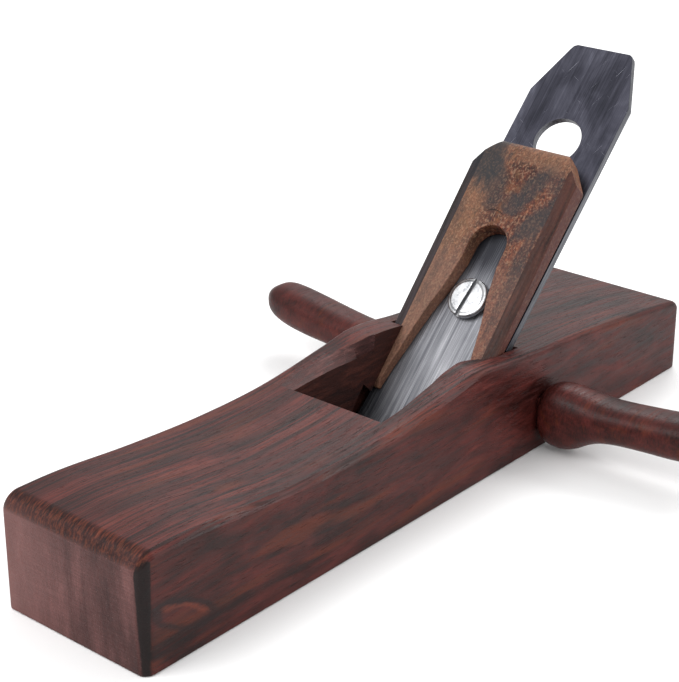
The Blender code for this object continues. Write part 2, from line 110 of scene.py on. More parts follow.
# Cap-iron screw and nut
SCREW_AT = 0.0700
HEAD_RADIUS = 0.0080
HEAD_HEIGHT = 0.0034
COLLAR_RADIUS = 0.0068
COLLAR_HEIGHT = 0.0010
SHANK_RADIUS = 0.0040
SHANK_END = 0.0094
SCREW_SLOT_HALF = 0.0008
SCREW_SLOT_DEPTH = 0.0014
SCREW_SLOT_TURN = math.radians(-5.0)
NUT_HALF = 0.0060
NUT_THICKNESS = 0.0040

# Wedge
WEDGE_HALF = 0.0237
WEDGE_TIP = 0.0265
WEDGE_FACE_TOP = 0.1245
WEDGE_TOP = 0.1325
WEDGE_TAPER = math.radians(3.2)
WEDGE_HEIGHT = 0.0098
WEDGE_CLIP_HALF = 0.0150
WEDGE_CLIP_FOOT = 0.1215
WEDGE_CHAMFER_WIDTH = 0.0045
WEDGE_CHAMFER_DEPTH = 0.0016
SLOT_ROUND_AT = 0.0903
SLOT_ROUND_RADIUS = 0.0080
# Half the wedge slot's width where it flares out between the legs, going down to their tips.
SLOT_FLARE = (
    (0.0830, 0.0080), (0.0710, 0.0098), (0.0610, 0.0124), (0.0510, 0.0142),
    (0.0360, 0.0166), (0.0200, 0.0184), (0.0100, 0.0194),
)

# Handles: distance out from the body's side, half thickness, heights of the underside and the top.
HANDLE_X = -0.0555
HANDLE_SWEEP = 0.08
HANDLE_STATIONS = (
    (0.0005, 0.0066, 0.0070, 0.0222), (0.0018, 0.0084, 0.0046, 0.0244),
    (0.0042, 0.0097, 0.0029, 0.0259), (0.0080, 0.0103, 0.0021, 0.0265),
    (0.0120, 0.0103, 0.0023, 0.0263), (0.0160, 0.0101, 0.0038, 0.0257),
    (0.0200, 0.0099, 0.0063, 0.0252), (0.0250, 0.0097, 0.0086, 0.0248),
    (0.0320, 0.0096, 0.0101, 0.0249), (0.0430, 0.0097, 0.0108, 0.0257),
    (0.0560, 0.0099, 0.0112, 0.0269), (0.0670, 0.0097, 0.0124, 0.0277),
    (0.0740, 0.0085, 0.0144, 0.0275), (0.0780, 0.0058, 0.0172, 0.0256),
    (0.0792, 0.0030, 0.0192, 0.0240),
)
HANDLE_SQUARENESS = 2.5
TENON_HALF = (0.0055, 0.0062)
TENON_Z = 0.0146

FAR = 0.080                       # how far a cutting tool reaches past the surface it opens

UP_THE_BED = Vector((-math.cos(BED_ANGLE), 0.0, math.sin(BED_ANGLE)))
OFF_THE_BED = Vector((math.sin(BED_ANGLE), 0.0, math.cos(BED_ANGLE)))
BED = Matrix((UP_THE_BED, OFF_THE_BED.cross(UP_THE_BED), OFF_THE_BED)).transposed().to_4x4()
BED.translation = (MOUTH_X, 0.0, 0.0)


# ---------------------------------------------------------------- finishes

def colour(code):
    """An sRGB hex code as a linear colour."""
    parts = [int(code[i:i + 2], 16) / 255 for i in (1, 3, 5)]
    return (*[c / 12.92 if c <= 0.04045 else ((c + 0.055) / 1.055) ** 2.4 for c in parts], 1.0)


ALL = slice(None)                                             # every output of a node
SOFT = {"interpolation_type": "SMOOTHSTEP"}                   # a MapRange that eases in and out
TINT = {"data_type": "RGBA", "out": 2}                        # a Mix of two colours


def add(tree, kind, inputs=None, stops=None, out=0, **settings):
    """Adds a node with its settings and gives the output asked for. An input takes a value, a hex code,
    or the socket it is linked from.
    """
    node = tree.nodes.new("ShaderNode" + kind)
    for name, value in settings.items():
        setattr(node, name, value)
    if stops:
        ramp = node.color_ramp
        while len(ramp.elements) < len(stops):
            ramp.elements.new(1.0)
        for element, (place, code) in zip(ramp.elements, stops):
            element.position = place
            element.color = colour(code)
    for name, value in (inputs or {}).items():
        if isinstance(value, bpy.types.NodeSocket):
            tree.links.new(value, node.inputs[name])
        else:
            node.inputs[name].default_value = colour(value) if isinstance(value, str) else value
    return node.outputs[out]


def finish(name):
    """A new material with its Principled shader and the piece's coordinates in metres."""
    made = bpy.data.materials.new(name)
    made.use_nodes = True
    tree = made.node_tree
    shader = tree.nodes["Principled BSDF"]
    place = add(tree, "TexCoord", out="Object")
    return made, tree, shader, place


def grain(tree, place, size, detail=4.0, roughness=0.6, distortion=0.0, shift=(0.0, 0.0, 0.0)):
    """Noise stretched to a figure of this size in millimetres along each axis of place, which is in mm."""
    at = add(tree, "Mapping", {
        "Vector": place, "Location": shift, "Scale": tuple(1.0 / s for s in size),
    })
    return add(tree, "TexNoise", {
        "Vector": at, "Scale": 1.0, "Detail": detail, "Roughness": roughness, "Distortion": distortion,
    }, out="Fac")


def total(tree, *terms):
    """The sum of (value, weight) pairs."""
    result = None
    for value, weight in terms:
        inputs = {0: value, 1: weight, 2: 0.0 if result is None else result}
        result = add(tree, "Math", inputs, operation="MULTIPLY_ADD")
    return result


def patch(tree, place, centre, turn, reach, ragged):
    """A mask that is 1 inside a soft oval of these half sizes in millimetres, with a ragged edge."""
    at = add(tree, "Mapping", {
        "Vector": place, "Location": centre, "Rotation": (0.0, 0.0, math.radians(turn)), "Scale": reach,
    }, vector_type="TEXTURE")
    away = add(tree, "VectorMath", {0: at}, operation="LENGTH", out="Value")
    torn = total(tree, (away, 1.0), (ragged, 1.0))
    return add(tree, "MapRange", {0: torn, 1: 1.7, 2: 1.07}, **SOFT)


# The knot near the toe on the right side: its place and its half sizes in millimetres, and its lean.
KNOT_AT = (133.5, 31.0, 15.2)
KNOT_REACH = (15.0, 6.0, 5.2)
KNOT_TURN = math.radians(-24.0)


def marked_body(tree, mm, wood, height, lines):
    """The marks that only the body has: a knot, end grain at both ends, a painted dark reflection down the
    right toe corner and painted shade over the toe's rounding.
    """
    split = add(tree, "SeparateXYZ", {"Vector": mm}, out=ALL)
    # A knot's edge on the right side near the toe: a ruddy arc inside a dark halo.
    eye = add(tree, "Mapping", {
        "Vector": mm, "Location": KNOT_AT, "Rotation": (0.0, KNOT_TURN, 0.0), "Scale": KNOT_REACH,
    }, vector_type="TEXTURE")
    far = add(tree, "VectorMath", {0: eye}, operation="LENGTH", out="Value")
    far = total(tree, (far, 1.0), (grain(tree, mm, (7.0, 7.0, 3.5), 3.0, 0.6, 0.8), 0.55), (1.0, -0.27))
    halo = add(tree, "Math", {0: total(tree, (far, 1.0), (1.0, -0.86))}, operation="ABSOLUTE")
    halo = add(tree, "MapRange", {0: halo, 1: 0.30, 2: 0.04, 4: 0.72}, **SOFT)
    arc_of = add(tree, "Math", {0: total(tree, (far, 1.0), (1.0, -0.56))}, operation="ABSOLUTE")
    arc_of = add(tree, "MapRange", {0: arc_of, 1: 0.22, 2: 0.02, 4: 0.50}, **SOFT)
    above = add(tree, "SeparateXYZ", {"Vector": eye}, out=2)
    above = add(tree, "MapRange", {0: above, 1: -0.05, 2: 0.25}, **SOFT)
    arc_of = add(tree, "Math", {0: arc_of, 1: above}, operation="MULTIPLY")
    wood = add(tree, "Mix", {0: halo, 6: wood, 7: "#1b0e0f"}, **TINT)
    red = add(tree, "Mix", {0: lines, 6: "#4a1c14", 7: "#83402c"}, **TINT)
    wood = add(tree, "Mix", {0: arc_of, 6: wood, 7: red}, **TINT)
    away = add(tree, "Math", {0: split[0]}, operation="ABSOLUTE")
    at_end = add(tree, "MapRange", {0: total(tree, (away, 1.0), (lines, 0.5)), 1: 147.6, 2: 150.0}, **SOFT)
    # Broad upright bands, and saw marks half a millimetre apart that lie level across the end.
    bands = grain(tree, mm, (60.0, 7.5, 42.0), 4.0, 0.55, 0.3)
    speck = grain(tree, mm, (3.0, 0.75, 0.55), 3.0, 0.7)
    marks = grain(tree, mm, (60.0, 26.0, 0.42), 2.0, 0.6)
    flecks = grain(tree, mm, (2.0, 0.8, 0.35), 1.0, 0.5, 0.0, (5.0, 2.0, 9.0))
    flecks = add(tree, "MapRange", {0: flecks, 1: 0.70, 2: 0.76, 4: 0.5}, **SOFT)
    end_tone = total(tree, (bands, 0.75), (speck, 0.32), (marks, 0.22))
    end = add(tree, "ValToRGB", {"Fac": add(tree, "MapRange", {0: end_tone, 1: 0.42, 2: 0.86})}, (
        (0.0, "#2a1413"), (0.35, "#3f2220"), (0.65, "#533230"), (1.0, "#6d4643")))
    # The left of the toe is paler.
    toe_left_paler = total(tree, (split[1], 1.0), (bands, 14.0))
    toe_left_paler = add(tree, "MapRange", {0: toe_left_paler, 1: 10.0, 2: -26.0, 4: 0.5}, **SOFT)
    end = add(tree, "Mix", {0: toe_left_paler, 6: end, 7: "#7d5450"}, **TINT)
    end = add(tree, "Mix", {0: flecks, 6: end, 7: "#94706a"}, **TINT)
    wood = add(tree, "Mix", {0: at_end, 6: wood, 7: end}, **TINT)
    height = total(tree, (height, 1.0), (marks, 0.5))
    # The right-hand toe corner is painted dark, more so towards the top: a painted dark reflection on the
    # rounded corner.
    corner = total(tree, (split[0], 1.0), (split[1], 1.0), (split[2], 0.028), (lines, 0.5))
    corner = add(tree, "MapRange", {0: corner, 1: 178.3, 2: 178.9, 4: 0.94}, **SOFT)
    wood = add(tree, "Mix", {0: corner, 6: wood, 7: "#0c0505"}, **TINT)
    # The rounding over the toe is painted dark, with a few ruddy lines along the grain: painted shade with
    # painted glints.
    brow = total(tree, (split[0], 1.0), (split[2], 1.0))
    brow = add(tree, "MapRange", {0: brow, 1: 185.2, 2: 186.9, 4: 0.62}, **SOFT)
    toe = add(tree, "MapRange", {0: split[0], 1: 140.0, 2: 144.0}, **SOFT)
    brow = add(tree, "Math", {0: brow, 1: toe}, operation="MULTIPLY")
    thin = add(tree, "MapRange", {0: lines, 1: 0.45, 2: 0.65}, **SOFT)
    painted_toe_shade = add(tree, "Mix", {0: thin, 6: "#180908", 7: "#5a2c1a"}, **TINT)
    wood = add(tree, "Mix", {0: brow, 6: wood, 7: painted_toe_shade}, **TINT)
    return wood, height


ROSEWOOD_STOPS = (
    (0.0, "#0e0303"), (0.20, "#240a08"), (0.42, "#3d1613"),
    (0.62, "#51201c"), (0.82, "#652f26"), (1.0, "#80463a"),
)


def rosewood(name, shift=(0.0, 0.0, 0.0), body_marks=True):
    """Rosewood, planed and oiled: long dark and pinkish-brown streaks, ruddy patches, short open pores,
    a satin sheen that is duller in the pores.
    """
    made, tree, shader, place = finish(name)
    mm = add(tree, "Mapping", {"Vector": place, "Scale": (1000.0, 1000.0, 1000.0)})
    # The grain wanders a few millimetres to each side over about 90 mm of length.
    wander = add(tree, "TexNoise", {"Vector": add(tree, "Mapping", {
        "Vector": mm, "Location": shift, "Scale": (1 / 95, 1 / 40, 1 / 40)}),
        "Scale": 1.0, "Detail": 1.0}, out="Color")
    swung = add(tree, "VectorMath", {0: wander, 1: (2.0, 9.0, 9.0), 2: mm}, operation="MULTIPLY_ADD")
    rings = add(tree, "TexWave", {
        "Vector": add(tree, "Mapping", {"Vector": swung, "Location": (0.0, 70.0, 55.0)}),
        "Scale": 0.045, "Distortion": 2.4, "Detail": 3.0, "Detail Scale": 0.02, "Detail Roughness": 0.6,
    }, wave_type="RINGS", rings_direction="X", out="Fac")     # rings about 7 mm apart
    streaks = grain(tree, swung, (85.0, 1.9, 6.0), 5.0, 0.66, 0.2, shift)
    lines = grain(tree, swung, (42.0, 0.60, 1.5), 3.0, 0.6)
    clouds = grain(tree, mm, (46.0, 17.0, 13.0), 3.0, 0.55, 0.5, shift)
    tone = total(tree, (streaks, 0.52), (lines, 0.60), (rings, 0.10), (clouds, 0.40))
    # The sides are cut along the rings, so they show clouds rather than lines.
    split = add(tree, "SeparateXYZ", {"Vector": mm}, out=ALL)
    beside = add(tree, "Math", {0: split[1]}, operation="ABSOLUTE")
    beside = add(tree, "MapRange", {0: beside, 1: 29.6, 2: 30.9}, **SOFT)
    curls = grain(tree, mm, (30.0, 20.0, 11.0), 4.0, 0.58, 1.6, shift)
    cloudy = total(tree, (curls, 0.52), (clouds, 0.30), (streaks, 0.16), (lines, 0.30), (1.0, 0.07))
    tone = add(tree, "Mix", {0: total(tree, (beside, 0.85)), 2: tone, 3: cloudy}, data_type="FLOAT")
    tone = total(tree, (tone, 1.0), (beside, 0.05))
    wood = add(tree, "ValToRGB", {"Fac": add(tree, "MapRange", {0: tone, 1: 0.56, 2: 1.10})}, ROSEWOOD_STOPS)
    # Near-black lines about a millimetre wide, which run most of the length.
    veins = grain(tree, swung, (130.0, 1.05, 4.5), 3.0, 0.55, 0.2, (5.0, 8.0, 2.0))
    veins = add(tree, "MapRange", {0: veins, 1: 0.51, 2: 0.62, 4: 0.82}, **SOFT)
    fewer = total(tree, (beside, -0.90), (1.0, 1.0))
    veins = add(tree, "Math", {0: veins, 1: fewer}, operation="MULTIPLY")
    wood = add(tree, "Mix", {0: veins, 6: wood, 7: "#150807"}, **TINT)
    ruddy = grain(tree, swung, (60.0, 5.0, 6.5), 2.0, 0.5, 0.3, (3.1, 7.7, 1.9))
    ruddy = add(tree, "MapRange", {0: ruddy, 1: 0.56, 2: 0.72, 4: 0.62}, **SOFT)
    glow = add(tree, "Mix", {0: lines, 6: "#32120b", 7: "#6b2f1a"}, **TINT)
    wood = add(tree, "Mix", {0: ruddy, 6: wood, 7: glow}, **TINT)
    # Pores: dark dashes about 5 mm long and a third of a millimetre wide.
    pores = grain(tree, mm, (5.5, 0.42, 0.42), 2.0, 0.5)
    pores = add(tree, "MapRange", {0: pores, 1: 0.60, 2: 0.70}, **SOFT)
    wood = add(tree, "Mix", {0: total(tree, (pores, 0.55)), 6: wood, 7: "#1a0c0b"}, **TINT)
    rough = add(tree, "MapRange", {0: lines, 1: 0.3, 2: 0.7, 3: 0.34, 4: 0.52}, **SOFT)
    rough = total(tree, (rough, 1.0), (pores, 0.16))
    height = total(tree, (lines, 0.5), (pores, -0.8), (streaks, 0.2))
    if body_marks:
        wood, height = marked_body(tree, mm, wood, height, lines)
    tree.links.new(wood, shader.inputs["Base Color"])
    tree.links.new(rough, shader.inputs["Roughness"])
    shader.inputs["Specular IOR Level"].default_value = 0.20
    raised = add(tree, "Bump", {"Height": height, "Distance": 0.00016, "Strength": 0.55})
    tree.links.new(raised, shader.inputs["Normal"])
    return made


def rosewood_cut(name, dark, mid, pale, rough, size=(9.0, 1.3, 1.6)):
    """Rosewood cut with a chisel and left from the tool: torn flecks, no polish."""
    made, tree, shader, place = finish(name)
    mm = add(tree, "Mapping", {"Vector": place, "Scale": (1000.0, 1000.0, 1000.0)})
    torn = grain(tree, mm, size, 5.0, 0.68, 0.4)
    broad = grain(tree, mm, (26.0, 6.0, 7.0), 3.0, 0.5)
    facets = add(
        tree, "TexVoronoi", {"Vector": mm, "Scale": 0.28, "Randomness": 0.9}, feature="F1", out="Distance",
    )
    tone = total(tree, (torn, 0.7), (broad, 0.5))
    wood = add(tree, "ValToRGB", {"Fac": add(tree, "MapRange", {0: tone, 1: 0.38, 2: 0.84})}, (
        (0.0, dark), (0.5, mid), (1.0, pale)))
    flecks = grain(tree, mm, (1.6, 0.5, 0.5), 2.0, 0.6)
    flecks = add(tree, "MapRange", {0: flecks, 1: 0.66, 2: 0.74, 4: 0.45}, **SOFT)
    wood = add(tree, "Mix", {0: flecks, 6: wood, 7: pale}, **TINT)
    tree.links.new(wood, shader.inputs["Base Color"])
    roughness = add(tree, "MapRange", {0: torn, 1: 0.3, 2: 0.7, 3: rough - 0.08, 4: rough + 0.12}, **SOFT)
    tree.links.new(roughness, shader.inputs["Roughness"])
    shader.inputs["Specular IOR Level"].default_value = 0.30
    height = total(tree, (torn, 0.8), (facets, 0.15))
    raised = add(tree, "Bump", {"Height": height, "Distance": 0.0004, "Strength": 0.8})
    tree.links.new(raised, shader.inputs["Normal"])
    return made


def bed_millimetres(tree, place):
    """The piece's coordinates in the bed frame, in mm: up the bed, across, off the iron's face."""
    return add(tree, "Mapping", {
        "Vector": place, "Location": BED.translation, "Rotation": tuple(BED.to_euler()),
        "Scale": (0.001, 0.001, 0.001),
    }, vector_type="TEXTURE")


# Stains on the wedge's face: up the bed, across (+ is the left), turn, half length, half width, strength.
WEDGE_STAINS = (
    (124.0, 16.5, 8.0, 15.0, 11.0, 0.92), (114.0, 9.0, 20.0, 13.0, 6.5, 0.62),
    (115.0, -7.0, -22.0, 15.0, 5.0, 0.74), (104.0, -15.5, -30.0, 14.0, 5.4, 0.80),
    (108.0, -2.5, 60.0, 7.0, 5.0, 0.55), (91.0, -16.0, -8.0, 15.0, 3.2, 0.55),
    (121.0, -14.5, 35.0, 8.0, 5.0, 0.50), (72.0, -17.0, -4.0, 22.0, 2.6, 0.42),
    (74.0, 16.5, -3.0, 18.0, 1.8, 0.30), (100.0, 18.0, 5.0, 8.0, 2.5, 0.35),
)


def wedge_wood(name, chamfer=None):
    """Figured brown hardwood, planed by hand and unfinished: fine tan and dark speckle, orange glints,
    and blue-grey stains where oil and iron have marked it. Matt, with an open grain.
    """
    made, tree, shader, place = finish(name)
    mm = bed_millimetres(tree, place)
    split = add(tree, "SeparateXYZ", {"Vector": mm}, out=ALL)
    speckle = grain(tree, mm, (1.5, 0.85, 1.2), 3.0, 0.65, 0.6)
    curl = grain(tree, mm, (3.2, 7.0, 4.0), 3.0, 0.6, 1.4)
    streaks = grain(tree, mm, (30.0, 2.1, 3.0), 4.0, 0.6, 0.5)
    broad = grain(tree, mm, (24.0, 9.0, 9.0), 2.0, 0.5, 0.4, (4.0, 1.0, 2.0))
    tone = total(tree, (speckle, 0.55), (curl, 0.30), (streaks, 0.34), (broad, 0.30))
    wood = add(tree, "ValToRGB", {"Fac": add(tree, "MapRange", {0: tone, 1: 0.52, 2: 0.98})}, (
        (0.0, "#140807"), (0.28, "#2d1512"), (0.52, "#50291f"), (0.76, "#774734"), (1.0, "#a97852")))
    dots = grain(tree, mm, (1.0, 0.8, 0.9), 2.0, 0.6, 0.3, (3.0, 6.0, 1.0))
    dots = add(tree, "MapRange", {0: dots, 1: 0.50, 2: 0.66, 4: 0.40}, **SOFT)
    wood = add(tree, "Mix", {0: dots, 6: wood, 7: "#a5846b"}, **TINT)
    glint = grain(tree, mm, (7.0, 5.0, 5.0), 3.0, 0.6, 0.8, (9.0, 4.0, 1.0))
    glint = add(tree, "MapRange", {0: glint, 1: 0.52, 2: 0.68, 4: 0.6}, **SOFT)
    tint = add(tree, "Mix", {0: speckle, 6: "#3a1f14", 7: "#7d5233"}, **TINT)
    wood = add(tree, "Mix", {0: glint, 6: wood, 7: tint}, **TINT)
    # The left of the face has worn paler than the right.
    pale = total(tree, (split[1], 1.0), (streaks, 6.0))
    pale = add(tree, "MapRange", {0: pale, 1: 4.0, 2: 18.0, 4: 0.38}, **SOFT)
    tint = add(tree, "Mix", {0: speckle, 6: "#5a4231", 7: "#a38064"}, **TINT)
    wood = add(tree, "Mix", {0: pale, 6: wood, 7: tint}, **TINT)
    # Both legs have worn to a pale mauve brown.
    legs = total(tree, (split[0], 1.0), (streaks, 22.0))
    legs = add(tree, "MapRange", {0: legs, 1: 104.0, 2: 88.0, 4: 0.42}, **SOFT)
    tint = add(tree, "Mix", {0: speckle, 6: "#4c332d", 7: "#9c7566"}, **TINT)
    wood = add(tree, "Mix", {0: legs, 6: wood, 7: tint}, **TINT)
    ragged = total(tree, (grain(tree, mm, (6.0, 4.0, 5.0), 4.0, 0.6, 0.8), 1.2))
    tint = add(tree, "Mix", {0: speckle, 6: "#15171a", 7: "#38383b"}, **TINT)
    for along, across, turn, long, wide, strength in WEDGE_STAINS:
        spot = patch(tree, mm, (along, across, 12.0), turn, (long, wide, 30.0), ragged)
        wood = add(tree, "Mix", {0: total(tree, (spot, strength)), 6: wood, 7: tint}, **TINT)
    # The top end's own grain: orange-brown and short.
    top = total(tree, (split[0], 1.0), (curl, 9.0))
    top = add(tree, "MapRange", {0: top, 1: 126.0, 2: 131.0, 4: 0.45}, **SOFT)
    right = add(tree, "MapRange", {0: total(tree, (split[1], 1.0), (curl, 8.0)), 1: 14.0, 2: 3.0}, **SOFT)
    top = add(tree, "Math", {0: top, 1: right}, operation="MULTIPLY")
    tint = add(tree, "Mix", {0: speckle, 6: "#3a2118", 7: "#ab8063"}, **TINT)
    wood = add(tree, "Mix", {0: top, 6: wood, 7: tint}, **TINT)
    # The sides are darker and redder.
    out = add(tree, "Math", {0: split[1]}, operation="ABSOLUTE")
    side = add(tree, "MapRange", {0: out, 1: 23.35, 2: 23.6, 4: 0.94}, **SOFT)
    tint = add(tree, "Mix", {0: streaks, 6: "#2a1513", 7: "#5b332d"}, **TINT)
    wood = add(tree, "Mix", {0: side, 6: wood, 7: tint}, **TINT)
    # One curved mark from a tool, above the slot: part of a ring of 6.2 mm radius.
    at = add(tree, "VectorMath", {0: mm, 1: (98.0, 3.0, 10.3)}, operation="SUBTRACT")
    flat = add(tree, "VectorMath", {0: at, 1: (1.0, 1.0, 0.0)}, operation="MULTIPLY")
    ring = add(tree, "VectorMath", {0: flat}, operation="LENGTH", out="Value")
    ring = add(tree, "Math", {0: ring, 1: 6.2}, operation="SUBTRACT")
    ring = add(tree, "Math", {0: ring}, operation="ABSOLUTE")
    ring = add(tree, "MapRange", {0: ring, 1: 0.32, 2: 0.12}, **SOFT)
    upper = add(tree, "MapRange", {0: add(tree, "SeparateXYZ", {"Vector": flat}), 1: 4.6, 2: 5.6}, **SOFT)
    mark = add(tree, "Math", {0: ring, 1: upper}, operation="MULTIPLY")
    wood = add(tree, "Mix", {0: total(tree, (mark, 0.8)), 6: wood, 7: "#140c0a"}, **TINT)
    wood = add(tree, "Mix", {0: total(tree, (dots, 0.35)), 6: wood, 7: "#86664f"}, **TINT)
    # A chamfer copy lays a dark tone over the whole facet: a painted blue-grey reflection on the left
    # chamfer, painted shade on the right.
    if chamfer:
        dark, light = chamfer
        streak_mask = add(tree, "MapRange", {0: streaks, 1: 0.30, 2: 0.72}, **SOFT)
        tint = add(tree, "Mix", {0: streak_mask, 6: dark, 7: light}, **TINT)
        wood = add(tree, "Mix", {0: 0.9, 6: wood, 7: tint}, **TINT)
    tree.links.new(wood, shader.inputs["Base Color"])
    roughness = add(tree, "MapRange", {0: speckle, 1: 0.3, 2: 0.7, 3: 0.46, 4: 0.66}, **SOFT)
    tree.links.new(roughness, shader.inputs["Roughness"])
    shader.inputs["Specular IOR Level"].default_value = 0.22
    height = total(tree, (speckle, 0.6), (streaks, 0.4), (mark, -1.2))
    raised = add(tree, "Bump", {"Height": height, "Distance": 0.00025, "Strength": 0.6})
    tree.links.new(raised, shader.inputs["Normal"])
    return made


def scratches(tree, mm, turn, size, low, high, shift):
    """Sparse fine scratches that lie at an angle across the plate."""
    at = add(tree, "Mapping", {"Vector": mm, "Rotation": (0.0, 0.0, math.radians(turn))})
    return add(tree, "MapRange", {0: grain(tree, at, size, 1.0, 0.5, 0.0, shift), 1: low, 2: high}, **SOFT)


def blackened_iron(name):
    """Forged tool iron, heat-blackened and rubbed with oil: dark blue-grey, faint lines up its length,
    a few bright scratches and cloudy patches, dull to satin.
    """
    made, tree, shader, place = finish(name)
    mm = bed_millimetres(tree, place)
    lines = grain(tree, mm, (70.0, 0.55, 3.0), 3.0, 0.6)
    cloud = grain(tree, mm, (22.0, 9.0, 9.0), 4.0, 0.6, 0.6)
    pits = add(tree, "MapRange", {0: grain(tree, mm, (0.9, 0.7, 0.7), 2.0, 0.6), 1: 0.66, 2: 0.76}, **SOFT)
    tone = total(tree, (lines, 0.45), (cloud, 0.75))
    metal = add(tree, "ValToRGB", {"Fac": add(tree, "MapRange", {0: tone, 1: 0.36, 2: 0.84})}, (
        (0.0, "#2a2b31"), (0.4, "#3c3c45"), (0.7, "#4b4b55"), (1.0, "#676874")))
    streak_mask = total(
        tree,
        (scratches(tree, mm, 24.0, (16.0, 0.22, 4.0), 0.74, 0.79, (1.0, 2.0, 3.0)), 0.8),
        (scratches(tree, mm, -61.0, (9.0, 0.20, 4.0), 0.75, 0.80, (7.0, 3.0, 5.0)), 0.8),
    )
    metal = add(tree, "Mix", {0: streak_mask, 6: metal, 7: "#a9abb5"}, **TINT)
    metal = add(tree, "Mix", {0: total(tree, (pits, 0.5)), 6: metal, 7: "#24242a"}, **TINT)
    tree.links.new(metal, shader.inputs["Base Color"])
    roughness = add(tree, "MapRange", {0: tone, 1: 0.4, 2: 0.8, 3: 0.34, 4: 0.52}, **SOFT)
    tree.links.new(roughness, shader.inputs["Roughness"])
    shader.inputs["Metallic"].default_value = 1.0
    height = total(tree, (lines, 0.4), (pits, -0.7), (streak_mask, -0.4))
    raised = add(tree, "Bump", {"Height": height, "Distance": 0.00008, "Strength": 0.5})
    tree.links.new(raised, shader.inputs["Normal"])
    return made


def bright_steel(name, stops, size, rough, shaded=None, metal_share=1.0):
    """Steel rubbed bright with abrasive paper: fine lines up its length, light and dark by turns.

    A shaded plate has painted shade low on its left, and a painted shadow high up, where the wedge covers it.
    """
    made, tree, shader, place = finish(name)
    mm = bed_millimetres(tree, place)
    lines = grain(tree, mm, size, 4.0, 0.7)
    coarse = grain(tree, mm, (size[0] * 1.5, size[1] * 4.5, size[2]), 2.0, 0.5)
    cloud = grain(tree, mm, (26.0, 11.0, 9.0), 3.0, 0.5, 0.4)
    tone = total(tree, (lines, 0.62), (coarse, 0.34), (cloud, 0.22))
    if shaded:
        split = add(tree, "SeparateXYZ", {"Vector": mm}, out=ALL)
        # Painted shade low on the left, and a painted shadow of the wedge high up.
        low_left_shade = total(tree, (split[0], 0.5), (split[1], -1.0), (coarse, 7.0))
        wedge_shadow = total(tree, (split[0], 1.0), (coarse, 8.0))
        wedge_shadow = add(tree, "MapRange", {0: wedge_shadow, 1: 78.0, 2: 94.0}, **SOFT)
        low_left_shade = add(tree, "MapRange", {0: low_left_shade, 1: shaded[0], 2: shaded[1]}, **SOFT)
        tone = total(tree, (tone, 1.0), (low_left_shade, -0.16), (wedge_shadow, -0.26))
    metal = add(tree, "ValToRGB", {"Fac": add(tree, "MapRange", {0: tone, 1: 0.36, 2: 0.82})}, stops)
    tree.links.new(metal, shader.inputs["Base Color"])
    roughness = add(tree, "MapRange", {0: lines, 1: 0.3, 2: 0.7, 3: rough - 0.06, 4: rough + 0.10}, **SOFT)
    tree.links.new(roughness, shader.inputs["Roughness"])
    shader.inputs["Metallic"].default_value = metal_share
    raised = add(tree, "Bump", {"Height": lines, "Distance": 0.00005, "Strength": 0.5})
    tree.links.new(raised, shader.inputs["Normal"])
    return made


def plated(name):
    """Bright nickel plate over a turned screw: almost white, faint turning marks and handling haze."""
    made, tree, shader, place = finish(name)
    mm = bed_millimetres(tree, place)
    at = add(tree, "VectorMath", {0: mm, 1: (SCREW_AT * 1000, 0.0, 0.0)}, operation="SUBTRACT")
    turned_marks = add(tree, "TexWave", {
        "Vector": at, "Scale": 0.9, "Distortion": 0.3, "Detail": 1.0,
    }, wave_type="RINGS", rings_direction="Z", out="Fac")     # rings 0.35 mm apart
    haze = grain(tree, mm, (3.0, 3.0, 3.0), 4.0, 0.6)
    tone = total(tree, (haze, 0.8), (turned_marks, 0.12))
    metal = add(tree, "ValToRGB", {"Fac": add(tree, "MapRange", {0: tone, 1: 0.25, 2: 0.75})}, (
        (0.0, "#a2a4a8"), (0.5, "#cfd0d2"), (1.0, "#e6e6e7")))
    # A dark ring painted in the fine step turned round the face: painted shade in the step.
    round_axis = add(tree, "VectorMath", {0: at, 1: (1.0, 1.0, 0.0)}, operation="MULTIPLY")
    out = add(tree, "VectorMath", {0: round_axis}, operation="LENGTH", out="Value")
    step = add(tree, "Math", {0: total(tree, (out, 1.0), (1.0, -6.55))}, operation="ABSOLUTE")
    step = add(tree, "MapRange", {0: step, 1: 0.45, 2: 0.12, 4: 0.55}, **SOFT)
    metal = add(tree, "Mix", {0: step, 6: metal, 7: "#6a6b6e"}, **TINT)
    tree.links.new(metal, shader.inputs["Base Color"])
    roughness = add(tree, "MapRange", {0: haze, 1: 0.3, 2: 0.7, 3: 0.24, 4: 0.38}, **SOFT)
    tree.links.new(roughness, shader.inputs["Roughness"])
    shader.inputs["Metallic"].default_value = 1.0
    raised = add(tree, "Bump", {"Height": turned_marks, "Distance": 0.00002, "Strength": 0.4})
    tree.links.new(raised, shader.inputs["Normal"])
    return made


ROSEWOOD = rosewood("rosewood_planed_and_oiled")
HANDLE_ROSEWOOD = rosewood("rosewood_carved_and_oiled", shift=(4.0, 2.0, 6.0), body_marks=False)
# The walls of the throat, the way, the groove and the mortise: sawn wood, darker than the body, partly its
# own colour and partly painted shade of the recesses.
THROAT_ROSEWOOD = rosewood_cut("rosewood_sawn_with_painted_shade", "#170806", "#351610", "#562b21", 0.60)
CHISELLED_ROSEWOOD = rosewood_cut(
    "rosewood_chiselled", "#1b0b0a", "#432422", "#7a5450", 0.58, (9.0, 1.1, 1.1),
)
WEDGE_WOOD = wedge_wood("brown_hardwood_planed")
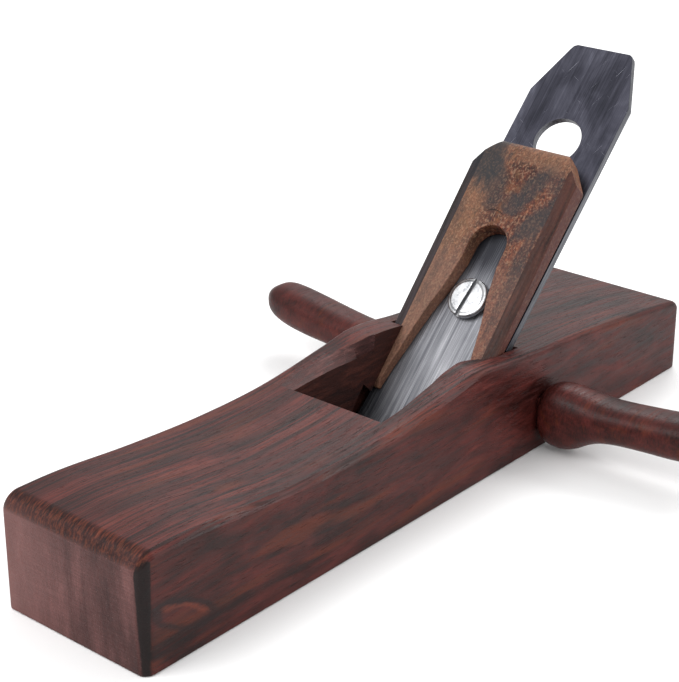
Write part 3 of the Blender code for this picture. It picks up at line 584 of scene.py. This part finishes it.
# The chamfers: a painted blue-grey reflection on the left, painted shade on the right.
WEDGE_CHAMFER_LEFT = wedge_wood("brown_hardwood_chamfer_painted_reflection", ("#0e0f13", "#2b2a31"))
WEDGE_CHAMFER_RIGHT = wedge_wood("brown_hardwood_chamfer_painted_shade", ("#1c0d0b", "#472720"))
IRON_FACE = blackened_iron("tool_iron_heat_blackened")
IRON_EDGE = bright_steel("tool_iron_filed_edge", (
    (0.0, "#2c2d31"), (0.5, "#54555a"), (1.0, "#8c8d92")), (30.0, 0.9, 0.5), 0.42, metal_share=0.7)
HARD_STEEL = bright_steel("carbon_steel_ground", (
    (0.0, "#3a3b42"), (0.5, "#595a62"), (1.0, "#83848c")), (40.0, 0.5, 1.0), 0.30)
CAP_STEEL = bright_steel("mild_steel_brushed", (
    (0.0, "#2f3036"), (0.25, "#55565c"), (0.55, "#7b7c81"), (0.80, "#a3a3a8"), (1.0, "#d6d6da")),
    (38.0, 0.26, 3.0), 0.44, shaded=(6.0, -12.0), metal_share=0.72)
NICKEL = plated("nickel_plate_polished")
# A darker copy of the nickel for the screw's slot: painted shade in the slot.
SLOT_NICKEL_SHADED = bright_steel("nickel_slot_painted_shade", (
    (0.0, "#4a4b4e"), (0.5, "#77787b"), (1.0, "#b9babc")), (3.0, 0.3, 0.3), 0.5, metal_share=0.6)


# ---------------------------------------------------------------- shaping

def solid(name, bm, *finishes):
    """The finished bmesh as an object, with its faces turned outwards."""
    bmesh.ops.recalc_face_normals(bm, faces=bm.faces)
    mesh = bpy.data.meshes.new(name)
    bm.to_mesh(mesh)
    bm.free()
    for one in finishes:
        mesh.materials.append(one)
    obj = bpy.data.objects.new(name, mesh)
    bpy.context.scene.collection.objects.link(obj)
    return obj


def drawn_out(name, sections, *finishes):
    """A solid drawn out through sections that all have the same number of points."""
    bm = bmesh.new()
    order = bm.verts.layers.int.new("order")
    bmesh.ops.create_circle(bm, cap_ends=True, segments=len(sections[0]), radius=1.0)
    for i, vert in enumerate(bm.verts):
        vert[order] = i
    end = list(bm.faces)
    for number, section in enumerate(sections):
        if number:
            passed = end
            made = bmesh.ops.extrude_face_region(bm, geom=passed)["geom"]
            end = [part for part in made if isinstance(part, bmesh.types.BMFace)]
            if number > 1:
                bmesh.ops.delete(bm, geom=passed, context="FACES_ONLY")
        for vert in {corner for face in end for corner in face.verts}:
            vert.co = section[vert[order]]
    return solid(name, bm, *finishes)


def slab(name, outline, low, high, *finishes, across=False):
    """A flat outline in XY given a thickness in Z. Across, the outline is in XZ and the thickness in Y."""
    def at(u, v, w):
        return (u, w, v) if across else (u, v, w)

    bm = bmesh.new()
    face = bm.faces.new([bm.verts.new(at(u, v, low)) for u, v in outline])
    made = bmesh.ops.extrude_face_region(bm, geom=[face])["geom"]
    raised = [part for part in made if isinstance(part, bmesh.types.BMVert)]
    bmesh.ops.translate(bm, verts=raised, vec=at(0.0, 0.0, high - low))
    return solid(name, bm, *finishes)


def block(name, low, high, *finishes):
    bm = bmesh.new()
    bmesh.ops.create_cube(bm, size=1.0)
    bmesh.ops.scale(bm, verts=bm.verts, vec=Vector(high) - Vector(low))
    bmesh.ops.translate(bm, verts=bm.verts, vec=(Vector(low) + Vector(high)) / 2)
    return solid(name, bm, *finishes)


def turned(name, profile, *finishes, steps=72):
    """A solid turned about Z from a profile of (radius, z) points."""
    bm = bmesh.new()
    points = [bm.verts.new((radius, 0.0, z)) for radius, z in profile]
    edges = [bm.edges.new(pair) for pair in zip(points, points[1:])]
    bmesh.ops.spin(bm, geom=points + edges, cent=(0.0, 0.0, 0.0), axis=(0.0, 0.0, 1.0),
                   angle=2 * math.pi, steps=steps, use_merge=True)
    bmesh.ops.remove_doubles(bm, verts=bm.verts, dist=1e-7)
    return solid(name, bm, *finishes)


def settle(obj):
    """Works the object's modifiers into its mesh."""
    bpy.context.view_layer.update()
    graph = bpy.context.evaluated_depsgraph_get()
    made = bpy.data.meshes.new_from_object(
        obj.evaluated_get(graph), preserve_all_data_layers=True, depsgraph=graph,
    )
    obj.modifiers.clear()
    old, obj.data = obj.data, made
    bpy.data.meshes.remove(old)
    made.name = obj.name


def shape(obj, operation, *tools):
    """Cuts the tools from the object, or joins them to it. A cut face takes its tool's finish."""
    for tool in tools:
        step = obj.modifiers.new(tool.name, "BOOLEAN")
        step.operation = operation
        step.solver = "EXACT"
        step.material_mode = "TRANSFER"
        step.object = tool
    settle(obj)
    for tool in tools:
        bpy.data.objects.remove(tool, do_unlink=True)


def ease(obj, width, segments=2, angle=32.0):
    """Takes the sharpness off the edges, and evens the shading of the flats between them."""
    bm = bmesh.new()
    bm.from_mesh(obj.data)
    bmesh.ops.remove_doubles(bm, verts=bm.verts, dist=2e-6)
    bmesh.ops.dissolve_degenerate(bm, edges=bm.edges, dist=2e-6)
    bm.to_mesh(obj.data)
    bm.free()
    obj.data.shade_smooth()
    if width:
        step = obj.modifiers.new("eased_edges", "BEVEL")
        step.width = width
        step.segments = segments
        step.limit_method = "ANGLE"
        step.angle_limit = math.radians(angle)
        step.miter_outer = "MITER_ARC"
        settle(obj)
    obj.data.set_sharp_from_angle(angle=math.radians(60))
    step = obj.modifiers.new("even_shading", "WEIGHTED_NORMAL")
    step.keep_sharp = True
    settle(obj)


def set_in_bed(obj):
    obj.data.transform(BED)


def fit(obj, node, body):
    """Puts a finished piece in the part, in its CAD node's place."""
    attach(obj, body)
    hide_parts(node)


def arc(centre, radius, start, end, steps=32):
    """Points along a circular arc, angles in degrees."""
    return [
        (centre[0] + radius * math.cos(math.radians(start + (end - start) * i / steps)),
         centre[1] + radius * math.sin(math.radians(start + (end - start) * i / steps)))
        for i in range(steps + 1)
    ]


def smooth_line(stations, x):
    """Height at x of a smooth line through (x, height) stations in rising x."""
    i = 0
    while i < len(stations) - 2 and x > stations[i + 1][0]:
        i += 1
    (x0, z0), (x1, z1) = stations[i], stations[i + 1]

    def slope(k):
        before, after = stations[max(k - 1, 0)], stations[min(k + 1, len(stations) - 1)]
        return (after[1] - before[1]) / (after[0] - before[0])

    span = x1 - x0
    t = (x - x0) / span
    rise = z1 - z0
    a = slope(i) * span - rise
    b = rise - slope(i + 1) * span
    return z0 + t * rise + t * (1 - t) * (a * (1 - t) + b * t)


def deck_height(x):
    return smooth_line(DECK_LINE[::-1], x)


def bed_point(along, off):
    """World (x, z) of a point along the bed and off the iron's face."""
    return (
        MOUTH_X - math.cos(BED_ANGLE) * along + math.sin(BED_ANGLE) * off,
        math.sin(BED_ANGLE) * along + math.cos(BED_ANGLE) * off,
    )


def wedge_face(along):
    return WEDGE_HEIGHT + math.tan(WEDGE_TAPER) * (along - SLOT_ROUND_AT)


def drop(radius, distance):
    """How far a rounded edge has fallen, this distance in from the end of the piece."""
    reach = max(radius - distance, 0.0)
    return radius - math.sqrt(radius * radius - reach * reach)


# ---------------------------------------------------------------- body

def body_side(half, top, foot, flat):
    """One side of the body's outline, from its sole up over the arris to its deck.

    The arris is a flat facet where flat is 1, and round where it is 0.
    """
    sole = arc((half - SOLE_ROUNDING, foot + SOLE_ROUNDING), SOLE_ROUNDING, -90.0, 0.0, 3)
    rounded = arc((half - ARRIS_ROUNDING, top - ARRIS_ROUNDING), ARRIS_ROUNDING, 0.0, 90.0, 7)
    first, last = Vector(rounded[0]), Vector(rounded[-1])
    return sole + [tuple(Vector(p).lerp(first.lerp(last, i / 7), flat)) for i, p in enumerate(rounded)]


def body_section(x):
    inset = BODY_LENGTH / 2 - abs(x)
    top = deck_height(x) - drop(TOE_TOP_ROUNDING, inset)
    foot = drop(SOLE_ROUNDING, inset)
    left_rounding = LEFT_TOE_ROUNDING if x > 0 else CORNER_ROUNDING
    flat = min(max((x + 0.020) / 0.012, 0.0), 1.0)
    right = body_side(BODY_WIDTH / 2 - drop(CORNER_ROUNDING, inset), top, foot, flat)
    left = body_side(BODY_WIDTH / 2 - drop(left_rounding, inset), top, foot, 0.0)
    return [(x, y, z) for y, z in right] + [(x, -y, z) for y, z in reversed(left)]


def body_stations():
    """Close together at the rounded ends, and 2 mm apart between them."""
    half, inner = BODY_LENGTH / 2, BODY_LENGTH / 2 - TOE_TOP_ROUNDING
    ends = [half - TOE_TOP_ROUNDING * (1 - math.cos(math.radians(90) * i / 12)) for i in range(13)]
    steps = 144
    between_ends = [inner - 2 * inner * i / steps for i in range(1, steps)]
    return ends + between_ends + [-x for x in reversed(ends)]


def rim_tool(side):
    """The chisel's path along a cheek's inner rim."""
    rim = (RIM_RIGHT if side > 0 else RIM_LEFT)[::-1]
    last, rim = rim[0], rim[1:]
    sections = []
    steps = round((rim[-1][0] - rim[0][0]) / 0.0008)
    spots = [rim[-1][0] + (rim[0][0] - rim[-1][0]) * i / steps for i in range(steps + 1)]
    cuts = [(x, smooth_line([r[:2] for r in rim], x), smooth_line([r[::2] for r in rim], x)) for x in spots]
    for x, out, depth in cuts + [last]:
        deck = deck_height(x)
        slope = depth / out
        over = 0.003
        sections.append([
            (x, side * (THROAT_HALF - over), deck - depth - slope * over),
            (x, side * (THROAT_HALF + out + over / slope), deck + over),
            (x, side * (THROAT_HALF - over), deck + over + 0.001),
        ])
    return drawn_out("rim_tool_right" if side > 0 else "rim_tool_left", sections, CHISELLED_ROSEWOOD)


def body():
    """The body: a rosewood block with a swept deck, the throat, the bed, and both rims cut by hand."""
    stock = drawn_out("body_rosewood", [body_section(x) for x in body_stations()], ROSEWOOD)
    behind = -IRON_THICKNESS - GAP
    foot = bed_point(-behind / math.tan(BED_ANGLE), behind)
    way = slab("iron_way_tool", [
        (foot[0], -0.010), foot, bed_point(0.100, behind),
        bed_point(0.100, wedge_face(0.100) + GAP), bed_point(EYE_TOP, wedge_face(EYE_TOP) + GAP),
        bed_point(EYE_TOP, 0.0125), FRONT_WALL_FOOT, (MOUTH_X + MOUTH_GAP, -0.010),
    ], -WAY_HALF, WAY_HALF, THROAT_ROSEWOOD, across=True)
    slope = (THROAT_FRONT_X - FRONT_WALL_FOOT[0]) / (deck_height(THROAT_FRONT_X) - FRONT_WALL_FOOT[1])
    throat = slab("throat_tool", [
        FRONT_WALL_FOOT, bed_point(0.010, 0.004), bed_point(0.100, 0.004),
        (THROAT_FRONT_X + slope * 0.020, FAR),
        (THROAT_FRONT_X + slope * 0.010, deck_height(THROAT_FRONT_X) + 0.010),
    ], -THROAT_HALF, THROAT_HALF, THROAT_ROSEWOOD, across=True)
    start, half, depth = NUT_GROOVE
    groove = block(
        "nut_groove_tool", (start, -half, behind - depth + GAP), (0.110, half, 0.0), THROAT_ROSEWOOD,
    )
    set_in_bed(groove)
    reach = Vector((TENON_HALF[0] + GAP, BODY_WIDTH, TENON_HALF[1] + GAP))
    centre = Vector((HANDLE_X, 0.0, TENON_Z))
    mortise = block("mortise_tool", centre - reach, centre + reach, THROAT_ROSEWOOD)
    shape(stock, "DIFFERENCE", way, throat, rim_tool(1), rim_tool(-1), groove, mortise)
    ease(stock, 0.00035)
    fit(stock, "body", "stock")


# ---------------------------------------------------------------- handles

def handle_section(out, half_x, low, high, side, points=40):
    section = []
    for i in range(points):
        turn = 2 * math.pi * i / points
        c, s = math.cos(turn), math.sin(turn)
        reach = (abs(c) ** HANDLE_SQUARENESS + abs(s) ** HANDLE_SQUARENESS) ** (-1 / HANDLE_SQUARENESS)
        section.append((
            HANDLE_X - HANDLE_SWEEP * out + half_x * reach * c,
            side * (BODY_WIDTH / 2 + out),
            (low + high) / 2 + (high - low) / 2 * reach * s,
        ))
    return section


def handle(side):
    """A carved handle, deep at its root and cut away below for the fingers, with its tenon."""
    name = "handle_right" if side > 0 else "handle_left"
    outs = [station[0] for station in HANDLE_STATIONS]
    spots = []
    for near, far in zip(outs, outs[1:]):
        steps = max(1, round((far - near) / 0.0012))
        spots += [near + (far - near) * i / steps for i in range(steps)]
    spots.append(outs[-1])
    lines = [[(station[0], station[k]) for station in HANDLE_STATIONS] for k in (1, 2, 3)]
    sections = [handle_section(out, *[smooth_line(line, out) for line in lines], side) for out in spots]
    grip = drawn_out(name + "_carved", sections, HANDLE_ROSEWOOD)
    low = Vector((HANDLE_X - TENON_HALF[0], 0.0010, TENON_Z - TENON_HALF[1]))
    high = Vector((HANDLE_X + TENON_HALF[0], BODY_WIDTH / 2 + 0.006, TENON_Z + TENON_HALF[1]))
    if side < 0:
        low.y, high.y = -high.y, -low.y
    shape(grip, "UNION", block(name + "_tenon", low, high, HANDLE_ROSEWOOD))
    ease(grip, 0.0003, angle=50.0)
    fit(grip, name, "stock")


# ---------------------------------------------------------------- irons

def finish_edges(obj, index):
    """Gives the second finish to the faces that stand across the plate."""
    for face in obj.data.polygons:
        if abs(face.normal.z) < 0.5:
            face.material_index = index


def grind_tool():
    reach = 0.040
    return slab("grind_tool", [
        (EDGE_LIFT, 0.0),
        (EDGE_LIFT + reach * math.cos(GRIND_ANGLE), -reach * math.sin(GRIND_ANGLE)),
        (EDGE_LIFT - reach, -reach), (EDGE_LIFT - reach, 0.002), (EDGE_LIFT, 0.002),
    ], -FAR, FAR, HARD_STEEL, across=True)


def iron():
    """The cutting iron, with clipped top corners and a keyhole slot for the nut."""
    corner = 0.0022
    outline = [
        (0.0, -IRON_HALF), (IRON_SHOULDER, -IRON_HALF), (IRON_LENGTH - corner, -IRON_TOP_HALF),
        (
            IRON_LENGTH - corner * 0.35, -IRON_TOP_HALF + corner * 0.35,
        ), (IRON_LENGTH, -IRON_TOP_HALF + corner),
        (IRON_LENGTH, IRON_TOP_HALF - corner),
        (IRON_LENGTH - corner * 0.35, IRON_TOP_HALF - corner * 0.35), (IRON_LENGTH - corner, IRON_TOP_HALF),
        (IRON_SHOULDER, IRON_HALF), (0.0, IRON_HALF),
    ]
    meet = math.degrees(math.asin(SLOT_HALF / KEYHOLE_RADIUS))
    keyhole = arc((SLOT_FOOT, 0.0), SLOT_HALF, 90.0, 270.0)
    keyhole += arc((KEYHOLE_CENTRE, 0.0), KEYHOLE_RADIUS, 180.0 + meet, 540.0 - meet, 80)
    blade = slab("iron_blade", outline, -IRON_THICKNESS, 0.0, IRON_FACE, IRON_EDGE)
    finish_edges(blade, 1)
    shape(
        blade, "DIFFERENCE",
        slab("keyhole_tool", keyhole, -FAR, FAR, IRON_EDGE),
        block(
            "steel_seat_tool", (-0.01, -FAR, -STEEL_THICKNESS - GAP), (STEEL_LENGTH + GAP, FAR, 0.01),
            HARD_STEEL,
        ),
        grind_tool(),
    )
    ease(blade, 0.00022)
    set_in_bed(blade)
    fit(blade, "iron", "iron")


def edge_steel():
    """The hard steel on the iron's face, ground to the cutting edge."""
    steel = block(
        "hard_steel", (0.0, -IRON_HALF, -STEEL_THICKNESS), (STEEL_LENGTH, IRON_HALF, 0.0), HARD_STEEL,
    )
    shape(steel, "DIFFERENCE", grind_tool())
    ease(steel, 0.00006, 1)
    set_in_bed(steel)
    fit(steel, "edge_steel", "iron")


def cap_iron():
    """The cap iron: flat, with a low hump that comes down to a fine nose behind the edge."""
    top = GAP + CAP_THICKNESS
    line = ((0.0020, GAP + 0.0004), (0.0050, top + 0.0001), (0.0100, top + 0.0008), (0.0145, top + 0.0006),
            (0.0190, top), (0.0240, top))
    upper = [(0.0020 + 0.0170 * i / 17, smooth_line(line, 0.0020 + 0.0170 * i / 17)) for i in range(18)]
    lower = [(0.0175, GAP), (0.0110, GAP + 0.0008), (0.0055, GAP + 0.0006)]
    outline = [(CAP_NOSE, GAP)] + upper + [(CAP_TOP, top), (CAP_TOP, GAP)] + lower
    cap = slab("cap_iron_plate", outline, -CAP_HALF, CAP_HALF, CAP_STEEL, IRON_EDGE, across=True)
    hole = arc((SCREW_AT, 0.0), CAP_HOLE_RADIUS, 0.0, 360.0, 64)[:-1]
    tools = [slab("cap_hole_tool", hole, -FAR, FAR, IRON_EDGE)]
    for side in (1, -1):
        reach = CAP_CORNER * math.sqrt(2)
        tools.append(slab("cap_corner_tool_" + ("right" if side > 0 else "left"), [
            (CAP_TOP + reach, side * CAP_HALF), (CAP_TOP, side * (CAP_HALF + reach)),
            (CAP_TOP - reach, side * CAP_HALF), (CAP_TOP, side * (CAP_HALF - reach)),
        ], -FAR, FAR, IRON_EDGE))
    shape(cap, "DIFFERENCE", *tools)
    ease(cap, 0.00025)
    set_in_bed(cap)
    fit(cap, "cap_iron", "cap")


def cap_screw():
    """The slotted screw: a cheese head with a turned bevel, on a thin collar."""
    seat = 2 * GAP + CAP_THICKNESS
    top = seat + HEAD_HEIGHT
    profile = [
        (0.0, top), (0.0060, top), (
            0.0064, top - 0.00010,
        ), (0.0067, top - 0.00030), (0.0072, top - 0.00034),
        (0.0076, top - 0.00048), (0.00788, top - 0.00078), (HEAD_RADIUS, top - 0.0012),
        (HEAD_RADIUS, seat + COLLAR_HEIGHT + 0.0003), (0.0077, seat + COLLAR_HEIGHT),
        (COLLAR_RADIUS, seat + COLLAR_HEIGHT - 0.0001), (COLLAR_RADIUS, seat), (SHANK_RADIUS, seat),
    ]
    # The thread: ridges 1.25 mm apart down the shank.
    pitch, deep = 0.00125, 0.00035
    z = seat - 0.0012
    while z > -SHANK_END + pitch:
        profile += [(SHANK_RADIUS, z), (SHANK_RADIUS - deep, z - pitch * 0.5)]
        z -= pitch
    profile += [
        (SHANK_RADIUS - deep, -SHANK_END + 0.0006), (SHANK_RADIUS - 0.0009, -SHANK_END), (0.0, -SHANK_END),
    ]
    screw = turned("cap_screw_turned", profile, NICKEL)
    slot = block("screw_slot_tool", (-HEAD_RADIUS - 0.002, -SCREW_SLOT_HALF, top - SCREW_SLOT_DEPTH),
                 (HEAD_RADIUS + 0.002, SCREW_SLOT_HALF, top + 0.002), SLOT_NICKEL_SHADED)
    slot.data.transform(Matrix.Rotation(SCREW_SLOT_TURN, 4, "Z"))
    shape(screw, "DIFFERENCE", slot)
    ease(screw, 0.00007, 1, 40.0)
    screw.data.transform(Matrix.Translation((SCREW_AT, 0.0, 0.0)))
    set_in_bed(screw)
    fit(screw, "cap_screw", "screw")


def cap_nut():
    """The square nut behind the iron."""
    top = -IRON_THICKNESS - GAP
    square = [(NUT_HALF, NUT_HALF), (-NUT_HALF, NUT_HALF), (-NUT_HALF, -NUT_HALF), (NUT_HALF, -NUT_HALF)]
    nut = slab("cap_nut_square", square, top - NUT_THICKNESS, top, NICKEL)
    hole = slab(
        "nut_hole_tool", arc((0.0, 0.0), SHANK_RADIUS + GAP, 0.0, 360.0, 48)[:-1], -FAR, FAR, NICKEL,
    )
    shape(nut, "DIFFERENCE", hole)
    ease(nut, 0.0004)
    nut.data.transform(Matrix.Translation((SCREW_AT, 0.0, 0.0)))
    set_in_bed(nut)
    fit(nut, "cap_nut", "nut")


# ---------------------------------------------------------------- wedge

def wedge():
    """The wedge: slotted round the screw, chamfered down its front edges, its top end rounded over."""
    back = 2 * GAP + CAP_THICKNESS
    rounded = [(WEDGE_FACE_TOP + (WEDGE_TOP - WEDGE_FACE_TOP) * math.sin(math.radians(t)),
                wedge_face(WEDGE_TOP) - 0.0028 - (wedge_face(WEDGE_TOP) - 0.0028 - wedge_face(WEDGE_FACE_TOP))
                * math.cos(math.radians(t))) for t in range(0, 91, 10)]
    outline = [
        (WEDGE_TIP, back), (WEDGE_TIP, back + 0.0014), (WEDGE_TIP + 0.0035, wedge_face(WEDGE_TIP + 0.0035)),
        *rounded, (WEDGE_TOP, wedge_face(WEDGE_TOP) - 0.0050), (WEDGE_TOP - 0.0012, back),
    ]
    wood = slab("wedge_planed", outline, -WEDGE_HALF, WEDGE_HALF, WEDGE_WOOD, across=True)
    slot = arc((SLOT_ROUND_AT, 0.0), SLOT_ROUND_RADIUS, -90.0, 90.0) + list(SLOT_FLARE)
    slot += [(along, -half) for along, half in reversed(SLOT_FLARE)]
    tools = [slab("wedge_slot_tool", slot, -FAR, FAR, WEDGE_WOOD)]
    clip = (WEDGE_TOP - WEDGE_CLIP_FOOT) / (WEDGE_HALF - WEDGE_CLIP_HALF)
    fall = WEDGE_CHAMFER_DEPTH / WEDGE_CHAMFER_WIDTH
    for side in (1, -1):
        out = WEDGE_HALF + 0.010
        tools.append(slab("wedge_clip_tool_" + ("left" if side > 0 else "right"), [
            (WEDGE_TOP + clip * 0.005, side * (WEDGE_CLIP_HALF - 0.005)),
            (WEDGE_CLIP_FOOT - clip * 0.010, side * out), (WEDGE_TOP + clip * 0.005, side * out),
        ], -FAR, FAR, WEDGE_WOOD))
        sections = []
        for along in (WEDGE_TIP - 0.010, WEDGE_TOP + 0.010):
            face, inner, over = wedge_face(along), WEDGE_HALF - WEDGE_CHAMFER_WIDTH, 0.004
            sections.append([
                (along, side * (inner - over), face + fall * over),
                (along, side * (WEDGE_HALF + over), face - WEDGE_CHAMFER_DEPTH - fall * over),
                (along, side * (WEDGE_HALF + over), face + fall * over),
            ])
        tools.append(drawn_out("wedge_chamfer_tool_" + ("left" if side > 0 else "right"), sections,
                               WEDGE_CHAMFER_LEFT if side > 0 else WEDGE_CHAMFER_RIGHT))
    shape(wood, "DIFFERENCE", *tools)
    ease(wood, 0.0004)
    set_in_bed(wood)
    fit(wood, "wedge", "wedge")


# ---------------------------------------------------------------- room

def room():
    """A pale floor under the soles, soft light from all round and above."""
    bm = bmesh.new()
    bmesh.ops.create_grid(bm, x_segments=1, y_segments=1, size=3.0)
    made, tree, shader, place = finish("floor_paint_matt_white")
    shade = grain(tree, add(tree, "Mapping", {"Vector": place, "Scale": (1000.0,) * 3}), (300.0,) * 3, 2.0)
    tree.links.new(
        add(tree, "Mix", {0: shade, 6: "#f2f2f2", 7: "#f6f6f6"}, **TINT), shader.inputs["Base Color"],
    )
    shader.inputs["Roughness"].default_value = 0.9
    floor = solid("floor", bm, made)
    for vert in floor.data.vertices:
        vert.co.z = -0.0002

    world = bpy.data.worlds.new("studio")
    bpy.context.scene.world = world
    world.use_nodes = True
    world.node_tree.nodes["Background"].inputs["Color"].default_value = (1.0, 1.0, 1.0, 1.0)
    world.node_tree.nodes["Background"].inputs["Strength"].default_value = 0.80
    lamp("key_light", (0.82, -0.30, 0.95), (0.0, 0.0, 0.03), 0.70, 9.0)
    lamp("fill_light", (0.35, 1.00, 0.55), (0.0, 0.0, 0.03), 0.60, 3.0)
    lamp("back_light", (-0.70, -0.35, 0.80), (-0.03, 0.0, 0.05), 0.45, 4.0)
    lamp("arris_light", (-0.80, 0.55, 0.68), (0.05, 0.0, 0.04), 0.30, 3.5)


def lamp(name, place, target, size, power):
    data = bpy.data.lights.new(name, "AREA")
    data.size = size
    data.energy = power
    obj = bpy.data.objects.new(name, data)
    bpy.context.scene.collection.objects.link(obj)
    obj.location = place
    obj.rotation_euler = (Vector(target) - Vector(place)).to_track_quat("-Z", "Y").to_euler()


def camera():
    data = bpy.data.cameras.new("camera")
    data.lens = 97.37
    data.sensor_width = 36.0
    data.sensor_fit = "HORIZONTAL"
    data.clip_start = 0.01
    obj = bpy.data.objects.new("camera", data)
    bpy.context.scene.collection.objects.link(obj)
    obj.location = (0.46136, 0.37278, 0.30848)
    obj.rotation_euler = [math.radians(angle) for angle in (66.56, 0.0, 130.57)]
    bpy.context.scene.camera = obj
    bpy.context.scene.view_settings.view_transform = "Standard"


camera()
room()
body()
handle(1)
handle(-1)
iron()
edge_steel()
cap_iron()
cap_screw()
cap_nut()
wedge()
